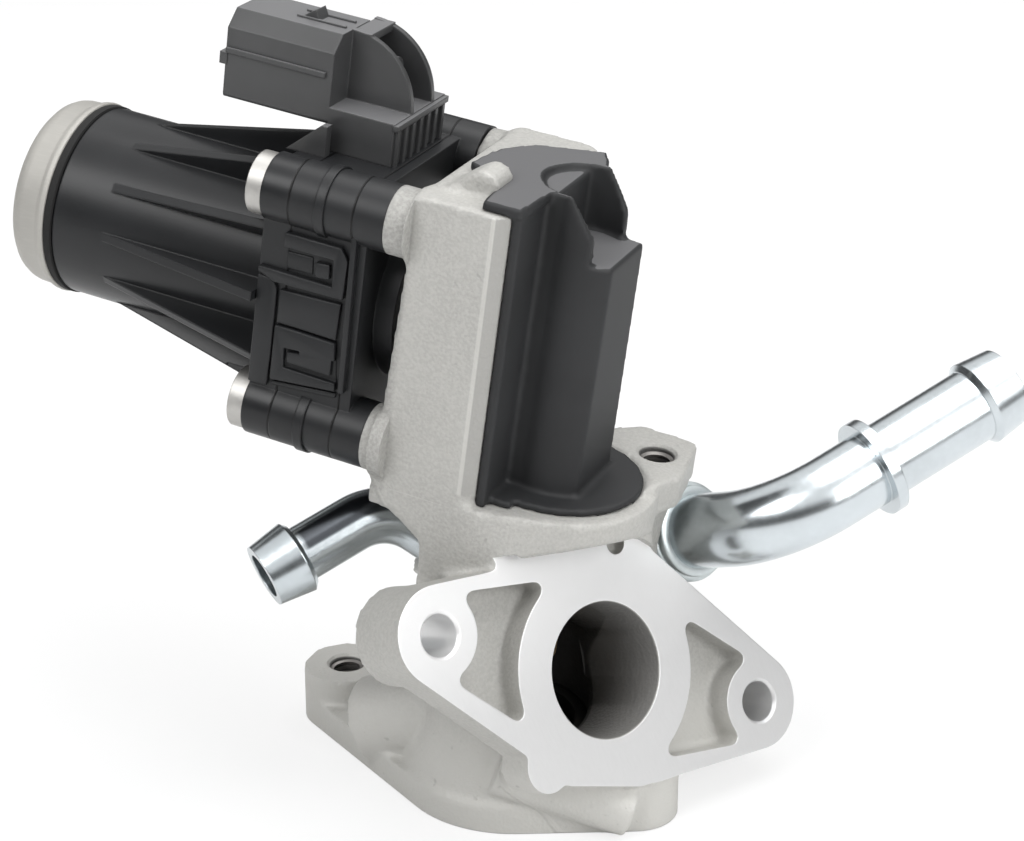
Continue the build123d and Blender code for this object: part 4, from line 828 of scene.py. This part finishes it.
class VALVE_OT_carried_solids(bpy.types.Operator):
    """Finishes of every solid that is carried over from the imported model"""

    bl_idname = "valve.carried_solids"
    bl_label = "Carried Solids"

    def execute(self, context):
        plastic = context.scene.valve_plastic
        zinc = plated_metal("bright_zinc", (0.60, 0.645, 0.67), 0.19)
        steel = plated_metal("ground_steel", (0.52, 0.51, 0.49), 0.3)
        screws = plated_metal("rough_plating", (0.50, 0.49, 0.47), 0.45, depth=0.00004)
        sooty = plated_metal("sooty_steel", (0.10, 0.097, 0.092), 0.5)
        housing = moulded_plastic("housing_black", plastic.housing, 0.30, plastic.edge, SPLITS)
        gearbox = moulded_plastic("gearbox_black", plastic.housing, 0.38, plastic.edge, SPLITS)
        cover = moulded_plastic("cover_black", plastic.cover, 0.55, 0.0008)
        # The plug gets a painted highlight on its upper faces
        plug = moulded_plastic(
            "plug_black", plastic.plug, 0.36, plastic.edge, gloss=0.6, painted_highlight=0.75
        )
        bronze = plain_finish("bearing_bronze", (0.45, 0.32, 0.18), 0.45, 1.0)
        rubber = plain_finish("seal_rubber", (0.02, 0.02, 0.02), 0.6)
        tin = plain_finish("contact_tin", (0.7, 0.68, 0.62), 0.3, 1.0)
        iron = plain_finish("motor_iron", (0.32, 0.32, 0.32), 0.5, 1.0)
        ferrite = plain_finish("ferrite", (0.05, 0.05, 0.055), 0.6)
        copper = plain_finish("copper_wire", (0.50, 0.20, 0.08), 0.4, 1.0)
        carbon = plain_finish("carbon", (0.03, 0.03, 0.03), 0.65)
        nylon = plain_finish("natural_nylon", (0.66, 0.62, 0.52), 0.5)
        finishes = {
            "valve_body": cast_aluminium(context.scene.valve_casting),
            "valve_seat": sooty, "stem_guide": bronze, "stem_seal": rubber,
            "spring_washer": steel, "return_spring": steel, "output_bush": bronze,
            "stem_cover": cover, "coolant_inlet_pipe": banded_zinc(), "coolant_outlet_pipe": zinc,
            "outlet_collar": zinc, "motor_housing": housing, "motor_cap": satin_steel(),
            "gear_housing": gearbox, "gear_end_plate": gearbox, "screw_sleeves": screws,
            "drive_screws": screws, "connector_shell": plug, "connector_terminals": tin,
            "motor_can": iron, "motor_magnets": ferrite, "motor_bearings": bronze,
            "brush_holder": plug, "brushes": carbon, "idler_pin": steel, "shaft_seal": rubber,
            "motor_shaft": steel, "armature": iron, "armature_windings": copper,
            "commutator": copper, "motor_pinion": steel, "idler_gear": nylon,
            "output_gear": nylon, "output_shaft": steel, "output_cam": steel,
            "cam_roller": steel, "cam_follower": steel, "poppet_valve": sooty,
            "spring_retainer": steel,
        }
        for name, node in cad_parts.items():
            give(node, finishes[name])
        return {"FINISHED"}


class VALVE_OT_casting(bpy.types.Operator):
    """Aluminium casting with soft edges, milled faces and drilled holes"""

    bl_idname = "valve.casting"
    bl_label = "Casting"

    def execute(self, context):
        look = context.scene.valve_casting
        piece = merged_copy("valve_body", "casting")
        self.add_stock(piece.data, look.stock)
        for lump in self.lumps():
            join(piece, lump)
        soften(piece, look.voxel, look.smoothing)
        for tool in self.tools():
            cut(piece, tool)
        count = sum(len(face.vertices) - 2 for face in piece.data.polygons)
        thin = piece.modifiers.new("thin", "DECIMATE")
        thin.ratio = min(1, look.triangles / count)
        settle(piece)
        smooth_under(piece, 38)
        give(piece, cast_aluminium(look))
        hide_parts("valve_body")
        carry(piece)
        return {"FINISHED"}

    def add_stock(self, mesh, stock):
        """Moves the milled faces out, so that the cuts leave them with sharp rims."""
        for vertex in mesh.vertices:
            off = (vertex.co - FLANGE_CENTRE).dot(FLANGE_NORMAL)
            if abs(off) < 0.00002:
                vertex.co += FLANGE_NORMAL * stock
            elif vertex.co.z < 0.00002:
                vertex.co.z -= stock

    def lumps(self):
        """Meshes that the casting's skin grows over: small cast forms, and plugs in its holes."""
        yield prism(metres(HUMP), -0.004, 0.004, upright(-13))
        yield rod(Vector((0.0050, -0.0205, 0.0140)), Vector((0.0308, -0.0113, 0.0049)), 0.0057)
        yield prism(metres(FLARE), -0.0024, 0.0024, upright(-22))
        yield prism(metres(EDGE_STOCK), 0.0740, 0.1310, STEM)
        for w, _ in SCREW_BOSSES:
            yield rod(at(-32.2, SCREW_ROW, w), at(-26.5, SCREW_ROW, w), 0.0075)
        for hole in FLANGE_HOLES:
            yield rod(hole + FLANGE_NORMAL * PLUG_REACH, hole - FLANGE_NORMAL * 0.0145, 0.006)
        for hole in BASE_HOLES:
            yield rod(hole - WORLD_UP * PLUG_REACH, hole + WORLD_UP * 0.0119, 0.005)
        yield rod(at(*LUG_HOLE, 65.6), at(*LUG_HOLE, 72.3), 0.005)

    def tools(self):
        """Meshes of the milling and drilling, in the order of the cuts."""
        yield prism(metres(MILLED_OUTLINE), 0, 0.0034, FLANGE_PLANE)
        yield prism(metres(EDGE_CUT), 0.0735, 0.1340, STEM)
        yield prism(metres(FRONT_CUT), 0.0705, 0.1340, STEM)
        for w, foot in SCREW_BOSSES:
            cup = (
                (0, -34), (9.5, -34), (9.5, foot), (BOSS_RADIUS, foot), (BOSS_RADIUS, BOSS_FACE),
                (0, BOSS_FACE),
            )
            yield turned(metres(cup), at(0, SCREW_ROW, w), ALONG_MOTOR)
        yield prism(metres(BASE_CUT), -0.02, 0, Matrix())
        yield turned(drill(*GAS_DRILL), FLANGE_CENTRE, FLANGE_NORMAL, 96)
        for hole in FLANGE_HOLES:
            yield turned(drill(*BOLT_DRILL), hole, FLANGE_NORMAL, 48)
        for hole in BASE_HOLES:
            yield turned(drill(*BASE_DRILL), hole, WORLD_UP, 48)
        yield turned(drill(*LUG_DRILL), at(*LUG_HOLE, 0), UP_STEM, 48)


class VALVE_OT_threads(bpy.types.Operator):
    """Threads in the base's holes and in the lug"""

    bl_idname = "valve.threads"
    bl_label = "Threads"

    def execute(self, context):
        material = plain_finish("thread_flanks", (0.22, 0.21, 0.20), 0.4, 0.7)
        tree = thread_growth(material)
        for side, hole in zip(("left", "right", "back"), BASE_HOLES):
            foot = Matrix.Translation(hole + WORLD_UP * 0.0008)
            self.thread("base_thread_" + side, tree, 8.0, foot)
        self.thread("lug_thread", tree, 4.4, Matrix.Translation(at(*LUG_HOLE, 65.8)) @ STEM)
        return {"FINISHED"}

    def thread(self, name, tree, turns, place):
        """One thread of a number of turns, with its first turn placed by a matrix."""
        piece = grown(name, tree, {"Turns": turns}, place)
        smooth_under(piece, 30)
        carry(piece)


class VALVE_OT_gearbox_front(bpy.types.Operator):
    """Raised panels, clips and collars on the front of the gearbox"""

    bl_idname = "valve.gearbox_front"
    bl_label = "Gearbox Front"

    def execute(self, context):
        look = context.scene.valve_plastic
        material = moulded_plastic("panel_black", look.housing, 0.36, look.edge)
        front = upright(GEARBOX_FRONT)
        for name, (outline, height, slot) in PANELS.items():
            piece = add_piece(name, prism(metres(outline), -0.0003, height / 1000, front))
            if slot:
                cut(piece, prism(metres(slot), 0.0001, 0.003, front))
            edges = piece.modifiers.new("edges", "BEVEL")
            edges.width = look.panel_edge
            edges.segments = 2
            edges.limit_method = "ANGLE"
            settle(piece)
            smooth_under(piece, 35)
            give(piece, material)
            carry(piece)
        for name, w in (("upper_collar", UPPER_SCREW), ("lower_collar", LOWER_SCREW)):
            origin = at(-45.9, SCREW_ROW, w)
            collar = turned_piece(
                name, SCREW_COLLAR_PROFILE, origin, ALONG_MOTOR, 64, material
            )
            carry(collar)
        return {"FINISHED"}


class VALVE_OT_plug_details(bpy.types.Operator):
    """Ribs, rails and stiffening web of the plug socket"""

    bl_idname = "valve.plug_details"
    bl_label = "Plug Details"

    def execute(self, context):
        look = context.scene.valve_plastic
        # The ribs get a painted highlight on their upper faces
        material = moulded_plastic("rib_black", look.plug, 0.36, look.edge, gloss=0.6, painted_highlight=0.75)
        tree = row_growth("rib_row", material)
        for name, (count, step, rib, place) in RIB_ROWS.items():
            sizes = {"Count": count, "Step": step, "Rib": rib}
            piece = grown(name, tree, sizes, Matrix.Translation(at(*place)) @ STEM)
            carry(piece)
        web = add_piece("plug_web", prism(metres(PLUG_WEB), -0.001, 0.001, upright(-11.5)))
        give(web, material)
        carry(web)
        return {"FINISHED"}


class VALVE_OT_soft_cover(bpy.types.Operator):
    """Stem cover with moulded radii on its edges and in its valley"""

    bl_idname = "valve.soft_cover"
    bl_label = "Soft Cover"

    def execute(self, context):
        look = context.scene.valve_plastic
        piece = merged_copy("stem_cover", "cover")
        soften(piece, look.cover_voxel, look.cover_smoothing)
        smooth_under(piece, 60)
        # The cover gets a painted highlight on its upper faces
        give(piece, moulded_plastic("cover_black", look.cover, 0.55, 0.0004, painted_highlight=0.6))
        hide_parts("stem_cover")
        carry(piece)
        return {"FINISHED"}


class VALVE_OT_turned_parts(bpy.types.Operator):
    """Motor cap with a drawn radius, its seal, and the pressed collar of the large pipe"""

    bl_idname = "valve.turned_parts"
    bl_label = "Turned Parts"

    def execute(self, context):
        end = at(MOTOR_CAP_END, 0, MOTOR_HEIGHT)
        cap = turned_piece("cap", CAP_PROFILE, end, ALONG_MOTOR, 128, satin_steel())
        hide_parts("motor_cap")
        carry(cap)
        rubber = plain_finish("cap_rubber", (0.004, 0.004, 0.004), 0.8)
        seal = turned_piece("cap_seal", SEAL_PROFILE, end, ALONG_MOTOR, 128, rubber)
        carry(seal)
        zinc = plated_metal("collar_zinc", (0.62, 0.67, 0.68), 0.3, metallic=0.7)
        root = at(*OUTLET_ROOT)
        outwards = (at(*OUTLET_BEND) - root).normalized()
        collar = turned_piece("collar", COLLAR_PROFILE, root, outwards, 96, zinc)
        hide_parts("outlet_collar")
        carry(collar)
        return {"FINISHED"}


class VALVE_OT_closing_spring(bpy.types.Operator):
    """Closing spring, copied from the imported solid, with its own mesh"""

    bl_idname = "valve.closing_spring"
    bl_label = "Closing Spring"

    def execute(self, context):
        piece = merged_copy("return_spring", "closing_spring")
        smooth_under(piece, 40)
        give(piece, plated_metal("spring_wire", (0.42, 0.41, 0.40), 0.35))
        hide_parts("return_spring")
        carry(piece)
        low, high = SPRING_ENDS
        at(0, 0, low)
        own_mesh(piece)
        return {"FINISHED"}


class VALVE_OT_stage(bpy.types.Operator):
    """Floor, lamps, world and the camera at the photograph's viewing angle"""

    bl_idname = "valve.stage"
    bl_label = "Stage"

    def execute(self, context):
        look = context.scene.valve_stage
        self.floor(look.floor_size / 2)
        self.lamps()
        self.world(context.scene, look)
        camera = add_piece("camera", bpy.data.cameras.new("camera"))
        camera.location = look.camera_place
        camera.rotation_euler = look.camera_turn
        camera.data.lens = look.focal_length
        camera.data.sensor_fit = "HORIZONTAL"
        camera.data.sensor_width = 36
        context.scene.camera = camera
        context.scene.view_settings.view_transform = "Standard"
        return {"FINISHED"}

    def floor(self, half):
        """Pale square floor, which the camera sees nearly white and with the object's shadow."""
        mesh = bpy.data.meshes.new("floor")
        corners = [(-half, -half), (half, -half), (half, half), (-half, half)]
        mesh.from_pydata([(x, y, -FLOOR_GAP) for x, y in corners], [], [(0, 1, 2, 3)])
        floor = add_piece("floor", mesh)
        f = Finish("floor_white")
        seen = f.node("ShaderNodeLightPath").outputs["Is Camera Ray"]
        paint = f.node(
            "ShaderNodeBsdfDiffuse", None, {"Color": FLOOR_PAINT, "Roughness": 0.5}
        )
        glow = f.node("ShaderNodeEmission", None, {"Color": WHITE, "Strength": 1.0})
        shown = f.node(
            "ShaderNodeMixShader", None, {0: FLOOR_GLOW, 1: paint.outputs[0], 2: glow.outputs[0]}
        )
        mixed = f.node(
            "ShaderNodeMixShader", None, {0: seen, 1: paint.outputs[0], 2: shown.outputs[0]}
        )
        f.node("ShaderNodeOutputMaterial", None, {"Surface": mixed.outputs[0]})
        give(floor, f.material)

    def lamps(self):
        """Three broad lamps that point at the middle of the valve."""
        middle = Vector((-0.02, 0, 0.07))
        lamps = (
            ("key", (-0.40, -0.90, 0.95), 0.8, 0.6, 7.5),
            ("top", (0.15, 0.15, 1.1), 1.0, 0.8, 9.0),
            ("right", (0.95, -0.35, 0.55), 0.5, 0.7, 6.0),
        )
        for name, place, width, height, power in lamps:
            data = bpy.data.lights.new(name, "AREA")
            data.shape = "RECTANGLE"
            data.size = width
            data.size_y = height
            data.energy = power
            lamp = add_piece(name, data)
            lamp.location = place
            lamp.rotation_euler = (middle - Vector(place)).to_track_quat("-Z", "Y").to_euler()

    def world(self, scene, look):
        """White to the camera, banded for reflections and dim for the rest."""
        world = bpy.data.worlds.new("studio")
        scene.world = world
        world.use_nodes = True
        g = Graph(world.node_tree)
        rays = g.node("ShaderNodeLightPath").outputs
        sky = g.node("ShaderNodeTexCoord").outputs["Generated"]
        parts = g.node("ShaderNodeSeparateXYZ", None, {0: sky})
        height = Value(g, parts.outputs["Z"])
        band = height.from_to(-0.16, -0.04) * height.from_to(0.55, 0.25)
        mirrored = 1 - band * look.band
        seen = Value(g, rays["Is Camera Ray"])
        glossy = Value(g, rays["Is Glossy Ray"]).at_least(Value(g, rays["Is Transmission Ray"]))
        unseen = glossy * mirrored + (1 - glossy) * look.fill
        level = seen + (1 - seen) * unseen
        back = g.node("ShaderNodeBackground", None, {"Color": WHITE, "Strength": level})
        g.node("ShaderNodeOutputWorld", None, {"Surface": back.outputs[0]})


class VALVE_PT_looks(bpy.types.Panel):
    """Lists the steps that dress the valve"""

    bl_idname = "VALVE_PT_looks"
    bl_label = "Gas Valve"
    bl_space_type = "VIEW_3D"
    bl_region_type = "UI"
    bl_category = "Gas Valve"

    def draw(self, context):
        for step in STEPS:
            self.layout.operator(step.bl_idname)


STEPS = (
    VALVE_OT_carried_solids, VALVE_OT_casting, VALVE_OT_threads, VALVE_OT_gearbox_front,
    VALVE_OT_plug_details, VALVE_OT_soft_cover, VALVE_OT_turned_parts,
    VALVE_OT_closing_spring, VALVE_OT_stage,
)
GROUPS = {
    "valve_casting": CastingLook,
    "valve_plastic": PlasticLook,
    "valve_stage": StageLook,
}


def register():
    for kind in (*GROUPS.values(), *STEPS, VALVE_PT_looks):
        bpy.utils.register_class(kind)
    for name, group in GROUPS.items():
        setattr(bpy.types.Scene, name, PointerProperty(type=group))


def unregister():
    for name in GROUPS:
        delattr(bpy.types.Scene, name)
    for kind in reversed((*GROUPS.values(), *STEPS, VALVE_PT_looks)):
        bpy.utils.unregister_class(kind)


def main():
    """Runs every step in order."""
    register()
    for step in STEPS:
        group, name = step.bl_idname.split(".")
        getattr(getattr(bpy.ops, group), name)()


if __name__ == "__main__":
    main()
